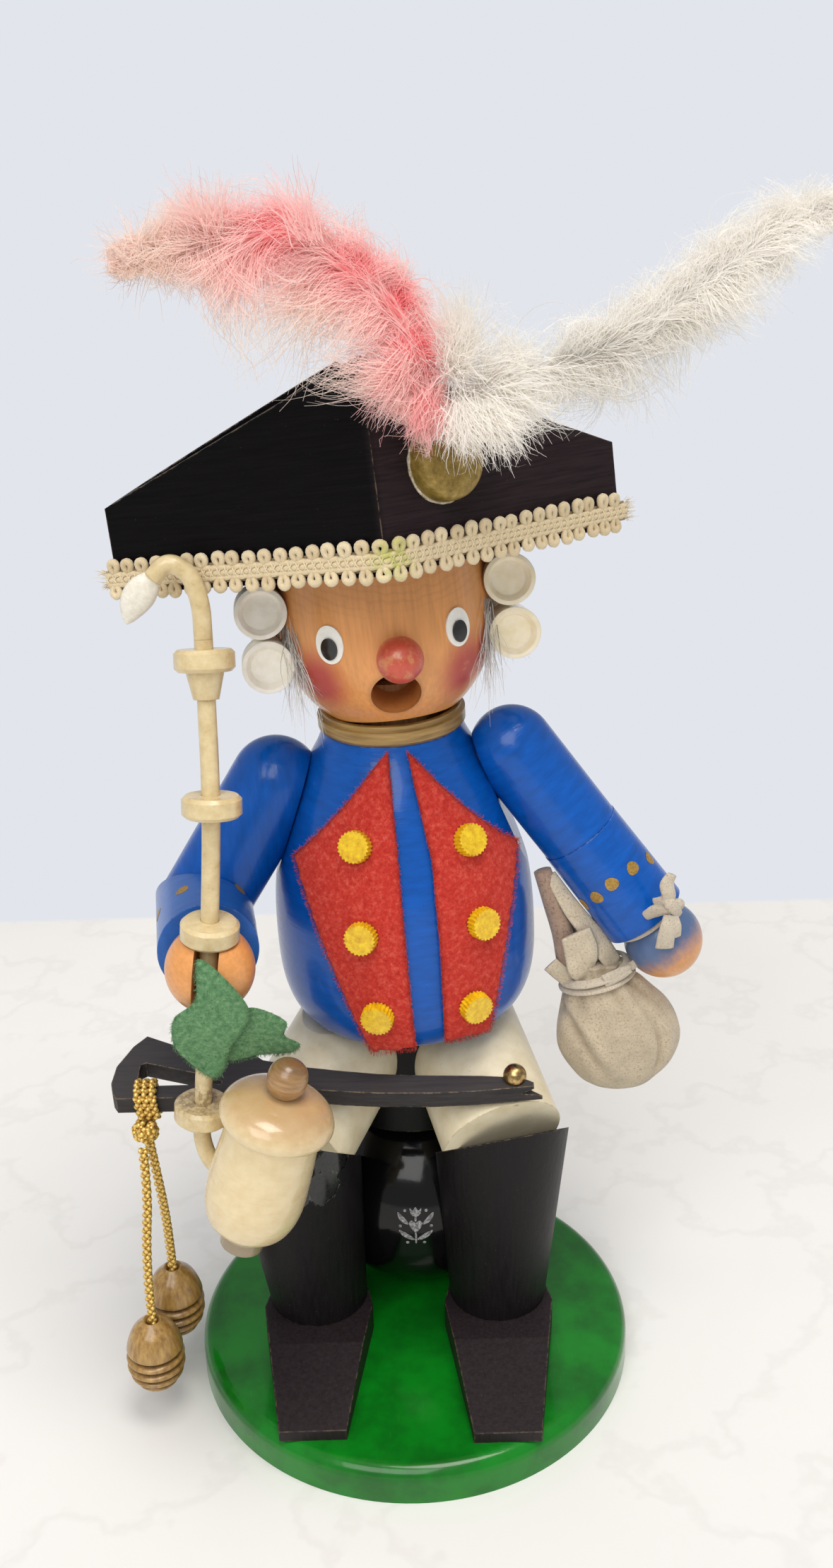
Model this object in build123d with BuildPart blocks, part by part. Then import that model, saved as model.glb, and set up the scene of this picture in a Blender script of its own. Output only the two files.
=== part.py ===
from build123d import *
from math import atan2, cos, degrees, pi, radians, sin, sqrt, tan
import os

# A turned wooden incense smoker: a seated figure in a blue coat and a three-cornered hat.
# It holds a long pipe in its slotted right hand, a purse hangs from its left wrist, and a
# flat sabre lies across its lap with two beaded cord tails on the guard.
#
# Millimetres, +Z up. The origin is the centre of the underside of the round base.
# The figure looks towards -Y, so its right side is at -X and its left side at +X.
# The legs stay on the table. The coat lifts off the hips, to reach the incense dish.
# Smoke rises through the hollow coat, the neck tube and the head, and leaves by the mouth.

os.makedirs("parts", exist_ok=True)

# Clearances
glue_gap = 0.05
soft_gap = 0.3
overrun = 5.0

# How much of the shorter run beside a corner a tube's arc may use
tube_run_share = 0.45

# Base and seat
base_radius = 57.5
base_height = 10.0
base_edge_round = 3.5
seat_radius = 28.5
seat_foot_radius = 6.7
seat_top_radius = 8.2
seat_side = 2.0
seat_back = 22.0

# Shoes
shoe_height = 8.0
shoe_toe_height = 3.0
shoe_toe_width = 16.7
shoe_width = 28.8
shoe_heel_width = 22.0
shoe_heel_back = 7.5
shoe_crease_forward = 22.0
shoe_widest_forward = 8.0
right_toe_forward = 46.7
left_toe_forward = 48.9

# Boots
ankle_forward = 3.0
right_ankle_side = 25.4
left_ankle_side = 22.6
boot_bottom_radius = 12.8
boot_top_radius = 17.0
boot_height = 48.0
right_boot_lean = 4.8
left_boot_lean = 1.2
knee_slope = 36.0
knee_flare = 11.0

# Thighs and hips
thigh_radius = 15.4
thigh_length = 38.0
thigh_forward = 10.0
thigh_rise = 8.2
thigh_slope = 25.0
right_thigh_splay = 29.9
left_thigh_splay = 18.5
hip_radius = 21.0
hip_side = 1.0
hip_back = 24.0
spigot_radius = 16.0
spigot_height = 4.0
spigot_gap = 0.4

# Incense dish
plate_radius = 12.0
plate_height = 2.5
plate_wall = 0.8

# Coat
lap_height = 99.0
coat_side = 1.6
coat_back = 15.0
coat_lean = 1.9
coat_height = 76.5
coat_radius = 32.6
coat_wall = 6.0
coat_shares = (
    (0.63, 0.0), (0.875, 0.042), (0.97, 0.131), (1.0, 0.261), (0.991, 0.418),
    (0.942, 0.562), (0.859, 0.68), (0.693, 0.863), (0.564, 0.954), (0.521, 1.0),
)
cavity_low_share = 0.24
cavity_high_share = 0.54
cavity_top_share = 0.86

# Felt lapels and buttons
felt_thickness = 1.8
right_lapel_shares = (
    (-0.031, 0.993), (0.0, 0.686), (0.015, 0.413), (0.037, 0.055), (-0.307, 0.033), (-0.794, 0.652),
)
left_lapel_shares = (
    (0.11, 0.987), (0.905, 0.625), (0.613, 0.052), (0.261, 0.064), (0.267, 0.397), (0.245, 0.675),
)
button_radius = 3.9
button_thickness = 3.0
button_tooth = 0.45
button_teeth = 24
button_sink = 0.8
right_button_places = ((0.736, -19.2), (0.468, -16.1), (0.197, -12.0))
left_button_places = ((0.719, 34.1), (0.467, 32.7), (0.192, 27.1))

# Collar and neck
collar_radius = 17.8
collar_height = 5.0
collar_step = 0.9
collar_step_height = 1.3
collar_lip_radius = 15.6
neck_radius = 9.0
neck_wall = 3.0
neck_depth = 8.0

# Head
head_radius = 25.0
head_flat_radius = 15.0
head_top = 16.9
head_side_lean = 5.5
head_back_lean = 8.0
head_turn = 7.0
chamber_radius = 15.0
mouth_radius = 5.7
mouth_turn = -3.2
mouth_drop = 30.9
mouth_rise = 15.0
nose_radius = 5.25
nose_turn = 0.2
nose_drop = 3.9
nose_sink = 2.65
eye_turn = 35.2
eye_width = 7.0
eye_height = 8.8
eye_up = 0.4
eye_thickness = 0.4
pupil_width = 4.1
pupil_height = 5.0
pupil_drop = 0.9
curl_radius = 6.0
curl_length = 9.0
curl_rim = 1.0
curl_dish = 1.8
curl_side = 28.6
curl_forward = 3.3
upper_curl_up = 8.3
lower_curl_down = 4.2
fur_thickness = 4.0
fur_height = 21.0
fur_forward = 2.5

# Hat
hat_shift = 1.9
hat_half_width = 57.0
hat_corner_forward = 46.0
hat_face_turn = 30.815
hat_back_reach = 31.0
hat_tip_height = 18.8
hat_peak_height = 44.0
hat_wall = 3.5
hat_floor = 4.0
hat_crown_radius = 23.0
hat_crown_height = 22.0
trim_height = 6.5
trim_thickness = 1.2
cockade_radius = 8.25
cockade_thickness = 6.0
cockade_along = 17.1
cockade_up = 21.0

# Feathers, in shares of their length from the top of the cockade
pink_length = 62.0
pink_shares = (
    (0.0, -0.02), (0.07, 0.22), (0.03, 0.42), (-0.05, 0.56), (-0.17, 0.70), (-0.34, 0.82), (-0.56, 0.86),
    (-0.79, 0.82), (-0.99, 0.70), (-0.80, 0.57), (-0.70, 0.42), (-0.56, 0.19), (-0.33, 0.2), (-0.17, 0.1),
)
white_length = 86.0
white_shares = (
    (0.02, -0.02), (0.02, 0.11), (0.10, 0.31), (0.25, 0.25), (0.36, 0.23), (0.49, 0.29), (0.65, 0.37),
    (0.85, 0.47), (1.0, 0.46), (0.98, 0.34), (0.84, 0.26), (0.68, 0.18), (0.56, 0.04), (0.43, -0.01),
    (0.22, 0.02),
)
feather_thickness = 5.0
feather_stand_off = 5.5
feather_lean = 22.0
feather_bend_up = 18.0
sheet_reach = 2 * white_length

# Right arm
right_shoulder_share = 0.8366
right_shoulder_side = 29.2
right_shoulder_forward = 2.0
right_arm_radius = 11.0
right_arm_length = 35.8
right_arm_turn = -69.8
right_arm_drop = 55.5
forearm_radius = 11.75
forearm_length = 26.5
forearm_turn = 8.9
forearm_rise = 2.1
right_hand_radius = 10.25
right_hand_reach = 8.9

# Left arm
left_shoulder_share = 0.9098
left_shoulder_side = 28.5
left_shoulder_forward = 3.3
left_arm_radius = 10.2
left_arm_length = 27.5
left_arm_turn = 80.05
left_arm_drop = 52.97
cuff_start_radius = 10.35
cuff_radius = 10.75
cuff_length = 27.0
left_hand_radius = 9.75
left_hand_reach = 8.3

# Flats where the arms are glued to the coat
shoulder_flat_share = 0.7778
shoulder_flat_side = 23.9
shoulder_flat_tilt = 20.0

# Pipe
stem_radius = 2.05
grip_forward = 1.0
grip_side = 0.3
grip_slot = 5.5
grip_flat_up = 7.6
running_gap = 0.1
stem_side_lean = 6.4
ring_radius = 6.65
ring_length = 4.85
ring_round = 0.8
lowest_ring_drop = 37.7
middle_run = 28.9
middle_run_side = 4.4
middle_run_back = 8.0
top_run = 36.2
top_run_side = -0.2
top_run_back = 14.6
top_ring_down = 4.4
flare_radius = 4.2
flare_length = 6.0
bend_size = 10.0
bend_shares = (
    (0.0, 0.0, 0.0), (0.0, 0.1, 0.76), (-0.2, 0.2, 1.42), (-0.66, 0.24, 1.7), (-1.0, 0.2, 1.34),
)
mouthpiece_length = 13.0
mouthpiece_radius = 3.1
mouthpiece_turn = -73.0
mouthpiece_drop = 54.0
mouthpiece_shares = ((0.55, 0.0), (0.8, 0.25), (1.0, 0.5), (0.85, 0.78), (0.35, 0.97))

# Pipe bowl
elbow_size = 10.0
elbow_shares = ((0.0, 0.0, 0.0), (-0.08, -0.02, -0.78), (0.07, -0.15, -1.28), (0.77, -0.55, -1.78))
bowl_side = 7.6
bowl_forward = 8.0
bowl_foot_drop = 32.3
bowl_lean = 16.6
bowl_radius = 11.8
bowl_height = 34.6
bowl_foot_radius = 5.2
bowl_foot_height = 3.4
bowl_shares = ((0.37, 0.12), (0.66, 0.165), (0.9, 0.26), (1.0, 0.42), (1.0, 0.58), (0.97, 0.78), (0.93, 1.0))
lid_radius = 13.5
lid_height = 8.6
lid_shares = ((0.85, 0.0), (1.0, 0.28), (0.93, 0.6), (0.72, 0.84), (0.36, 0.98), (0.18, 1.0))
knob_radius = 4.7
knob_height = 9.2
knob_shares = ((0.5, 0.0), (0.88, 0.2), (1.0, 0.46), (0.88, 0.76), (0.5, 0.95), (0.1, 1.0))

# Felt leaves, in shares of the leaf unit from the grip
leaf_unit = 20.0
leaf_thickness = 1.5
large_leaf_shares = (
    (-0.02, 0.445), (-0.085, -0.06), (-0.335, -0.325), (-0.41, -0.545), (-0.405, -0.88), (-0.23, -1.18),
    (-0.035, -1.345), (0.105, -1.245), (0.25, -0.83), (0.42, -0.53), (0.485, -0.225), (0.285, 0.17),
)
small_leaf_shares = (
    (0.30, -0.55), (0.435, -0.29), (0.62, -0.3), (0.865, -0.51), (0.83, -0.74), (0.985, -0.9),
    (0.92, -1.03), (0.745, -1.075), (0.515, -1.09), (-0.05, -1.2), (-0.05, -0.95),
)
leaf_bend_shares = ((-0.55, 0.75), (-0.535, 0.06), (-0.375, -0.54), (-0.145, -1.14), (-0.145, -1.74))

# Sabre, in shares of its length and width from the front of the guard
sabre_length = 105.0
sabre_width = 24.0
sabre_thickness = 4.5
sabre_side = 72.0
sabre_forward = 21.0
sabre_height = 89.1
sabre_tilt = 8.0
sabre_shares = (
    (0.019, 0.045), (0.152, 0.042), (0.443, 0.12), (0.551, 0.058), (0.623, 0.025), (0.743, 0.004),
    (0.838, 0.012), (0.929, 0.045), (1.0, 0.075), (0.98, 0.12), (0.952, 0.2), (0.912, 0.215), (0.863, 0.238),
    (0.719, 0.271), (0.622, 0.308), (0.535, 0.371), (0.447, 0.446), (0.348, 0.571), (0.276, 0.87),
    (0.133, 0.842), (0.062, 1.0), (0.034, 0.84), (0.004, 0.53), (0.0, 0.27), (0.008, 0.125),
)
guard_slot_shares = ((0.06, 0.225), (0.257, 0.225), (0.257, 0.27), (0.19, 0.408), (0.071, 0.579), (0.06, 0.54))
# The tip's crack, in shares of the sabre's length and thickness: a short upper and a longer lower splinter
tip_crack_shares = ((0.951, 0.51), (0.98, 0.8), (0.98, 1.2), (1.02, 1.2), (1.02, 0.16))
nail_radius = 2.85
nail_pin_radius = 0.8
nail_pin_length = 8.5
nail_side = 26.4
nail_forward = 17.5
nail_height = 95.3

# Cord tails on the guard, each along a route of its own
front_cord_points = (
    (-64.1, -24.2, 81.7), (-64.0, -24.9, 68.0), (-65.5, -25.3, 56.0), (-66.2, -25.7, 43.5),
    (-66.3, -26.0, 33.5), (-66.3, -26.1, 25.5),
)
rear_cord_points = (
    (-62.9, -21.3, 81.4), (-62.2, -18.6, 66.5), (-62.1, -15.4, 53.5), (-62.5, -12.6, 43.0),
    (-62.7, -11.2, 35.5), (-62.7, -11.0, 29.5),
)
knot_along_share = 0.082
knot_radius = 3.4
knot_drop = 3.9
knot_forward = 1.2
cord_radius = 1.2
band_width = 2.2
band_gap = 0.9
band_thickness = 1.6
bead_radius = 7.45
bead_height = 21.0
bead_bore_depth = 8.0
bead_shares = ((0.25, 0.0), (0.7, 0.1), (0.95, 0.27), (1.0, 0.45), (0.93, 0.66), (0.7, 0.86), (0.3, 1.0))

# Purse
pouch_shares = (
    (0.0, 0.0, 0.32, 0.26), (-0.01, 0.06, 0.72, 0.54), (-0.02, 0.17, 0.97, 0.66), (-0.03, 0.29, 1.0, 0.68),
    (-0.09, 0.40, 0.86, 0.6), (-0.25, 0.50, 0.6, 0.44), (-0.4, 0.57, 0.38, 0.27), (-0.55, 0.64, 0.38, 0.24),
    (-0.9, 0.77, 0.34, 0.2), (-1.17, 0.92, 0.2, 0.15), (-1.29, 1.0, 0.1, 0.1),
)
pouch_half_width = 15.5
pouch_height = 60.0
pouch_inward = 10.63
pouch_back = 5.0
pouch_drop = 41.37
tie_neck_share = 0.55
tie_side_share = 0.36
tie_width = 3.2
tie_thickness = 1.4
tie_ring_width = 7.4
tie_ring_depth = 5.6
thong_radius = 1.0
thong_knot_radius = 2.3

# Glued dowels
dowel_radius = 4.0
dowel_depth = 7.0
thin_dowel_radius = 3.0
thin_dowel_depth = 5.0


def leaning(point, side=0, back=0, turn=0):
    """A plane whose z leans side degrees to +X and back degrees to +Y, its front turned to +X."""
    up = Vector(tan(radians(side)), tan(radians(back)), 1)
    front = Vector(sin(radians(turn)), -cos(radians(turn)), 0)
    return Plane(origin=point, x_dir=up.cross(front), z_dir=up)


def toward(turn, rise):
    """The unit direction turned from the front to +X by turn degrees, and rising above level."""
    level = cos(radians(rise))
    return Vector(sin(radians(turn)) * level, -cos(radians(turn)) * level, sin(radians(rise)))


def spot(frame, side=0, back=0, up=0):
    """The point at these distances along a frame's own directions."""
    return frame.origin + frame.x_dir * side + frame.y_dir * back + frame.z_dir * up


def shifted(frame, side=0, back=0, up=0):
    """The same frame, moved along its own directions."""
    return Plane(origin=spot(frame, side, back, up), x_dir=frame.x_dir, z_dir=frame.z_dir)


def side_view(frame):
    """The plane through a frame's axis that faces its front: x across, y up the axis."""
    return Plane(origin=frame.origin, x_dir=frame.x_dir, z_dir=-frame.y_dir)


def end_view(frame):
    """The plane through a frame's axis that faces its side: x to the back, y up the axis."""
    return Plane(origin=frame.origin, x_dir=frame.y_dir, z_dir=frame.x_dir)


def scaled(shares, across, up):
    """Outline points from shares of two sizes."""
    return [(x * across, y * up) for x, y in shares]


def rod(frame, radius, length, mode=Mode.ADD):
    """A straight round bar from a frame's origin along its z."""
    with BuildSketch(frame) as section:
        Circle(radius)
    extrude(section.sketch, amount=length, mode=mode)


def ball(center, radius, mode=Mode.ADD):
    """A sphere about a point."""
    with Locations(center):
        Sphere(radius, mode=mode)


def lathe(frame, *points, mode=Mode.ADD):
    """Turn a straight-sided outline of (radius, height) points about a frame's z."""
    with BuildSketch(side_view(frame)) as outline:
        with BuildLine():
            Polyline(*points, close=True)
        make_face()
    revolve(outline.sketch, axis=Axis(frame.origin, frame.z_dir), mode=mode)


def lathe_curve(frame, *points, mode=Mode.ADD):
    """Turn a smooth outline through (radius, height) points, closed by flat ends."""
    with BuildSketch(side_view(frame)) as outline:
        with BuildLine():
            Spline(*points)
            Polyline(points[-1], (0, points[-1][1]), (0, points[0][1]), points[0])
        make_face()
    revolve(outline.sketch, axis=Axis(frame.origin, frame.z_dir), mode=mode)


def tube_radii(points):
    """The widest tangent arc that each corner of a route allows."""
    radii = []
    for before, corner, after in zip(points, points[1:], points[2:]):
        come = Vector(corner) - Vector(before)
        go = Vector(after) - Vector(corner)
        shorter = min(come.length, go.length)
        radii.append(tube_run_share * shorter / tan(radians(come.get_angle(go)) / 2))
    return radii


def tube(points, radius):
    """A round tube along straight runs joined by tangent arcs."""
    with BuildPart() as solid:
        with BuildLine() as route:
            FilletPolyline(*points, radius=tube_radii(points))
        with BuildSketch(Plane(origin=route.line @ 0, z_dir=route.line % 0)):
            Circle(radius)
        sweep()
    return solid.part


def bent_sheet(frame, outline, middle_line, thickness):
    """A flat outline seen from the front, on a sheet whose middle line is seen from the side."""
    with BuildPart() as solid:
        with BuildSketch(side_view(frame)) as front:
            with BuildLine():
                Spline(*outline, periodic=True)
            make_face()
        extrude(front.sketch, amount=sheet_reach, both=True)
        with BuildSketch(end_view(frame)) as edge:
            with BuildLine():
                half = thickness / 2
                near = [(back - half, up) for back, up in middle_line]
                far = [(back + half, up) for back, up in reversed(middle_line)]
                Polyline(*near, *far, close=True)
            make_face()
        extrude(edge.sketch, amount=sheet_reach, both=True, mode=Mode.INTERSECT)
    return solid.part


# Frames that the pieces share
seat_center = Vector(seat_side, seat_back, base_height + sqrt(seat_radius**2 - seat_foot_radius**2))
seat_top = seat_center.Z + sqrt(seat_radius**2 - seat_top_radius**2)
coat_frame = leaning((coat_side, coat_back, lap_height), side=-coat_lean)
head_up = coat_height + collar_height + sqrt(head_radius**2 - collar_lip_radius**2)
head_frame = leaning(spot(coat_frame, up=head_up), -head_side_lean, head_back_lean, head_turn)
hat_frame = shifted(head_frame, side=-hat_shift, up=head_top)
hip_frame = Plane(origin=(hip_side, hip_back, seat_top))
seat_dowel_frame = Plane(origin=(seat_side, seat_back, base_height - dowel_depth))
hip_dowel_frame = Plane(origin=(seat_side, seat_back, seat_top - dowel_depth))
dowel_room = dowel_radius + glue_gap
thin_room = thin_dowel_radius + glue_gap
pieces = {}

# Base
with BuildPart() as base_disc:
    rod(Plane.XY, base_radius, base_height)
    fillet(base_disc.edges().group_by(Axis.Z)[-1], radius=base_edge_round)
    rod(seat_dowel_frame, dowel_room, dowel_depth, Mode.SUBTRACT)
pieces["base_disc"] = base_disc

# Seat ball, flat where it stands and where the hips sit
with BuildPart() as seat_ball:
    ball(seat_center, seat_radius)
    split(bisect_by=Plane(origin=(0, 0, base_height)), keep=Keep.TOP)
    split(bisect_by=Plane(origin=(0, 0, seat_top)), keep=Keep.BOTTOM)
    rod(shifted(seat_dowel_frame, up=dowel_depth), dowel_room, dowel_depth, Mode.SUBTRACT)
    rod(hip_dowel_frame, dowel_room, dowel_depth, Mode.SUBTRACT)
pieces["seat_ball"] = seat_ball

# Hips, with the spigot that the hollow coat sits over
with BuildPart() as hip_block:
    rod(hip_frame, hip_radius, lap_height)
    split(bisect_by=coat_frame, keep=Keep.BOTTOM)
    rod(coat_frame, spigot_radius, spigot_height)
    rod(shifted(hip_dowel_frame, up=dowel_depth), dowel_room, dowel_depth, Mode.SUBTRACT)
pieces["hip_block"] = hip_block

with BuildPart() as incense_plate:
    lathe(
        shifted(coat_frame, up=spigot_height),
        (0, 0), (plate_radius - plate_height, 0), (plate_radius, plate_height),
        (plate_radius - plate_wall, plate_height), (plate_radius - plate_height - plate_wall / 2, plate_wall),
        (0, plate_wall),
    )
pieces["incense_plate"] = incense_plate

# Sabre: a flat board with a slotted guard at the figure's right and a split tip
sabre_frame = Plane(
    origin=(-sabre_side, -sabre_forward, sabre_height),
    x_dir=(1, 0, 0),
    z_dir=(0, -sin(radians(sabre_tilt)), cos(radians(sabre_tilt))),
)
nail_center = Vector(nail_side, -nail_forward, nail_height)
nail_frame = Plane(origin=nail_center - Vector(0, 0, nail_pin_length))
with BuildPart() as sabre:
    with BuildSketch(sabre_frame):
        with BuildLine():
            Polyline(*scaled(sabre_shares, sabre_length, sabre_width), close=True)
        make_face()
        with BuildLine():
            Polyline(*scaled(guard_slot_shares, sabre_length, sabre_width), close=True)
        make_face(mode=Mode.SUBTRACT)
    extrude(amount=sabre_thickness)
    with BuildSketch(side_view(sabre_frame)):
        with BuildLine():
            Polyline(*scaled(tip_crack_shares, sabre_length, sabre_thickness), close=True)
        make_face()
    extrude(amount=sabre_width, both=True, mode=Mode.SUBTRACT)
    ball(nail_center, nail_radius + glue_gap, Mode.SUBTRACT)
    rod(nail_frame, nail_pin_radius + glue_gap, nail_pin_length, Mode.SUBTRACT)
pieces["sabre"] = sabre

with BuildPart() as sabre_nail:
    ball(nail_center, nail_radius)
    rod(nail_frame, nail_pin_radius, nail_pin_length)
pieces["sabre_nail"] = sabre_nail

# Legs, each a wedge shoe, a tapered boot cut on a slant at the knee, and a round thigh
ankle_dowels = []
for side, outward, ankle_side, boot_lean, toe_forward, splay in (
    ("right", -1, -right_ankle_side, -right_boot_lean, right_toe_forward, 180 - right_thigh_splay),
    ("left", 1, left_ankle_side, left_boot_lean, left_toe_forward, 180 + left_thigh_splay),
):
    shoe_top = base_height + shoe_height
    ankle = Vector(ankle_side, -ankle_forward, shoe_top)
    boot_frame = leaning(ankle, side=boot_lean)
    knee = spot(boot_frame, up=boot_height)
    knee_normal = (-outward * tan(radians(knee_flare)), tan(radians(knee_slope)), 1)
    knee_plane = Plane(origin=knee, z_dir=knee_normal)
    ankle_dowel_frame = Plane(origin=ankle - Vector(0, 0, thin_dowel_depth))
    ankle_dowels.append(ankle_dowel_frame)

    with BuildPart() as shoe:
        with BuildSketch(Plane(origin=(ankle_side, 0, base_height))):
            with BuildLine():
                Polyline(
                    (-shoe_toe_width / 2, -toe_forward), (shoe_toe_width / 2, -toe_forward),
                    (shoe_width / 2, -shoe_widest_forward), (shoe_heel_width / 2, shoe_heel_back),
                    (-shoe_heel_width / 2, shoe_heel_back), (-shoe_width / 2, -shoe_widest_forward),
                    close=True,
                )
            make_face()
        extrude(amount=shoe_height)
        with BuildSketch(end_view(Plane(origin=(ankle_side, 0, base_height)))):
            with BuildLine():
                Polyline(
                    (-toe_forward - overrun, shoe_toe_height), (-toe_forward, shoe_toe_height),
                    (-shoe_crease_forward, shoe_height), (-shoe_crease_forward, shoe_height + overrun),
                    (-toe_forward - overrun, shoe_height + overrun), close=True,
                )
            make_face()
        extrude(amount=shoe_width, both=True, mode=Mode.SUBTRACT)
        ball(seat_center, seat_radius + glue_gap, Mode.SUBTRACT)
        rod(ankle_dowel_frame, thin_room, thin_dowel_depth, Mode.SUBTRACT)
    pieces[f"{side}_shoe"] = shoe

    with BuildPart() as boot:
        flare = (boot_top_radius - boot_bottom_radius) / boot_height
        boot_end = boot_height + boot_top_radius
        lathe(
            boot_frame,
            (0, -overrun), (boot_bottom_radius - flare * overrun, -overrun),
            (boot_bottom_radius + flare * boot_end, boot_end), (0, boot_end),
        )
        split(bisect_by=Plane(origin=ankle), keep=Keep.TOP)
        split(bisect_by=knee_plane, keep=Keep.BOTTOM)
        ball(seat_center, seat_radius + glue_gap, Mode.SUBTRACT)
        rod(shifted(ankle_dowel_frame, up=thin_dowel_depth), thin_room, thin_dowel_depth, Mode.SUBTRACT)
    pieces[f"{side}_boot"] = boot

    thigh_end = knee + Vector(0, -thigh_forward, thigh_rise)
    with BuildPart() as thigh:
        rod(Plane(origin=thigh_end, z_dir=toward(splay, thigh_slope)), thigh_radius, thigh_length)
        split(bisect_by=knee_plane, keep=Keep.TOP)
        split(bisect_by=shifted(coat_frame, up=-soft_gap), keep=Keep.BOTTOM)
        split(bisect_by=Plane(origin=(outward * glue_gap, 0, 0), z_dir=(outward, 0, 0)), keep=Keep.TOP)
        rod(hip_frame, hip_radius + glue_gap, lap_height, Mode.SUBTRACT)
        add(sabre.part, mode=Mode.SUBTRACT)
        rod(nail_frame, nail_pin_radius + glue_gap, nail_pin_length, Mode.SUBTRACT)
    pieces[f"{side}_thigh"] = thigh


def coat_points(grow=0):
    """The coat's outline, its radius grown a little."""
    return [(x + grow, y) for x, y in scaled(coat_shares, coat_radius, coat_height)]


def coat_blank(grow=0):
    """The turned coat before it is hollowed, its side grown a little."""
    with BuildPart() as blank:
        lathe_curve(coat_frame, *coat_points(grow))
    return blank.part


def coat_surface(height, turn, grow):
    """The plane that lies on the coat's side at a height and turn, facing outwards."""
    for (low_radius, low), (high_radius, high) in zip(coat_points(), coat_points()[1:]):
        if low <= height <= high:
            radius = low_radius + (high_radius - low_radius) * (height - low) / (high - low) + grow
            tilt = degrees(atan2(low_radius - high_radius, high - low))
    level = coat_frame.x_dir * sin(radians(turn)) - coat_frame.y_dir * cos(radians(turn))
    outwards = level * cos(radians(tilt)) + coat_frame.z_dir * sin(radians(tilt))
    return Plane(origin=spot(coat_frame, up=height) + level * radius, z_dir=outwards)


def shoulder_plane(outward):
    """The flat between an arm and the coat, facing out and up."""
    normal = coat_frame.x_dir * outward * cos(radians(shoulder_flat_tilt))
    normal += coat_frame.z_dir * sin(radians(shoulder_flat_tilt))
    origin = spot(coat_frame, side=outward * shoulder_flat_side, up=shoulder_flat_share * coat_height)
    return Plane(origin=origin, z_dir=normal)


def shoulder_dowel_frame(outward, shoulder):
    """The start of the dowel that runs square through the flat, under the shoulder."""
    flat = shoulder_plane(outward)
    depth = (shoulder - flat.origin).dot(flat.z_dir)
    return Plane(origin=shoulder - flat.z_dir * (depth + thin_dowel_depth), z_dir=flat.z_dir)


right_up = right_shoulder_share * coat_height
left_up = left_shoulder_share * coat_height
right_shoulder = spot(coat_frame, -right_shoulder_side, -right_shoulder_forward, right_up)
left_shoulder = spot(coat_frame, left_shoulder_side, -left_shoulder_forward, left_up)
right_dowel_frame = shoulder_dowel_frame(-1, right_shoulder)
left_dowel_frame = shoulder_dowel_frame(1, left_shoulder)

# Coat: hollow, open below for the spigot and above for the neck tube
neck_room = neck_radius + glue_gap
with BuildPart() as coat_torso:
    add(coat_blank())
    lathe(
        coat_frame,
        (0, -overrun), (spigot_radius + spigot_gap, -overrun),
        (spigot_radius + spigot_gap, spigot_height + spigot_gap),
        (coat_radius - coat_wall, cavity_low_share * coat_height),
        (coat_radius - coat_wall, cavity_high_share * coat_height),
        (neck_room, cavity_top_share * coat_height), (neck_room, coat_height + overrun),
        (0, coat_height + overrun), mode=Mode.SUBTRACT,
    )
    split(bisect_by=shoulder_plane(-1), keep=Keep.BOTTOM)
    split(bisect_by=shoulder_plane(1), keep=Keep.BOTTOM)
    rod(right_dowel_frame, thin_room, thin_dowel_depth, Mode.SUBTRACT)
    rod(left_dowel_frame, thin_room, thin_dowel_depth, Mode.SUBTRACT)
pieces["coat_torso"] = coat_torso

# Felt lapels that follow the coat
for side, shares in (("right", right_lapel_shares), ("left", left_lapel_shares)):
    with BuildPart() as lapel:
        with BuildSketch(side_view(coat_frame)):
            with BuildLine():
                Polyline(*scaled(shares, coat_radius, coat_height), close=True)
            make_face()
        extrude(amount=coat_radius + overrun)
        add(coat_blank(glue_gap + felt_thickness), mode=Mode.INTERSECT)
        add(coat_blank(glue_gap), mode=Mode.SUBTRACT)
    pieces[f"{side}_lapel"] = lapel

# Toothed buttons, three on each lapel
tooth_step = pi / button_teeth
button_outline = [
    ((button_radius - button_tooth * (turn % 2)) * cos(turn * tooth_step),
     (button_radius - button_tooth * (turn % 2)) * sin(turn * tooth_step))
    for turn in range(2 * button_teeth)
]
felt_face = felt_thickness + 2 * glue_gap
for side, places in (("right", right_button_places), ("left", left_button_places)):
    with BuildPart() as buttons:
        for height_share, turn in places:
            seat = coat_surface(height_share * coat_height, turn, felt_face)
            with BuildSketch(shifted(seat, up=-button_sink)) as disc:
                with BuildLine():
                    Polyline(*button_outline, close=True)
                make_face()
            extrude(disc.sketch, amount=button_thickness + button_sink)
        add(coat_blank(felt_face), mode=Mode.SUBTRACT)
    pieces[f"{side}_buttons"] = buttons

# Collar ring, dished for the head
with BuildPart() as collar:
    lathe(
        shifted(coat_frame, up=coat_height),
        (neck_room, 0), (collar_radius - collar_step, 0), (collar_radius, collar_step),
        (collar_radius, collar_height - collar_step_height),
        (collar_radius - collar_step, collar_height - collar_step_height),
        (collar_radius - collar_step, collar_height), (neck_room, collar_height),
    )
    ball(head_frame.origin, head_radius + glue_gap, Mode.SUBTRACT)
pieces["collar"] = collar

neck_start = coat_height - neck_depth
neck_end = head_up - sqrt(chamber_radius**2 - neck_radius**2)
with BuildPart() as neck_tube:
    lathe(
        coat_frame,
        (neck_radius - neck_wall, neck_start), (neck_radius, neck_start),
        (neck_radius, neck_end), (neck_radius - neck_wall, neck_end),
    )
pieces["neck_tube"] = neck_tube


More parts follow.
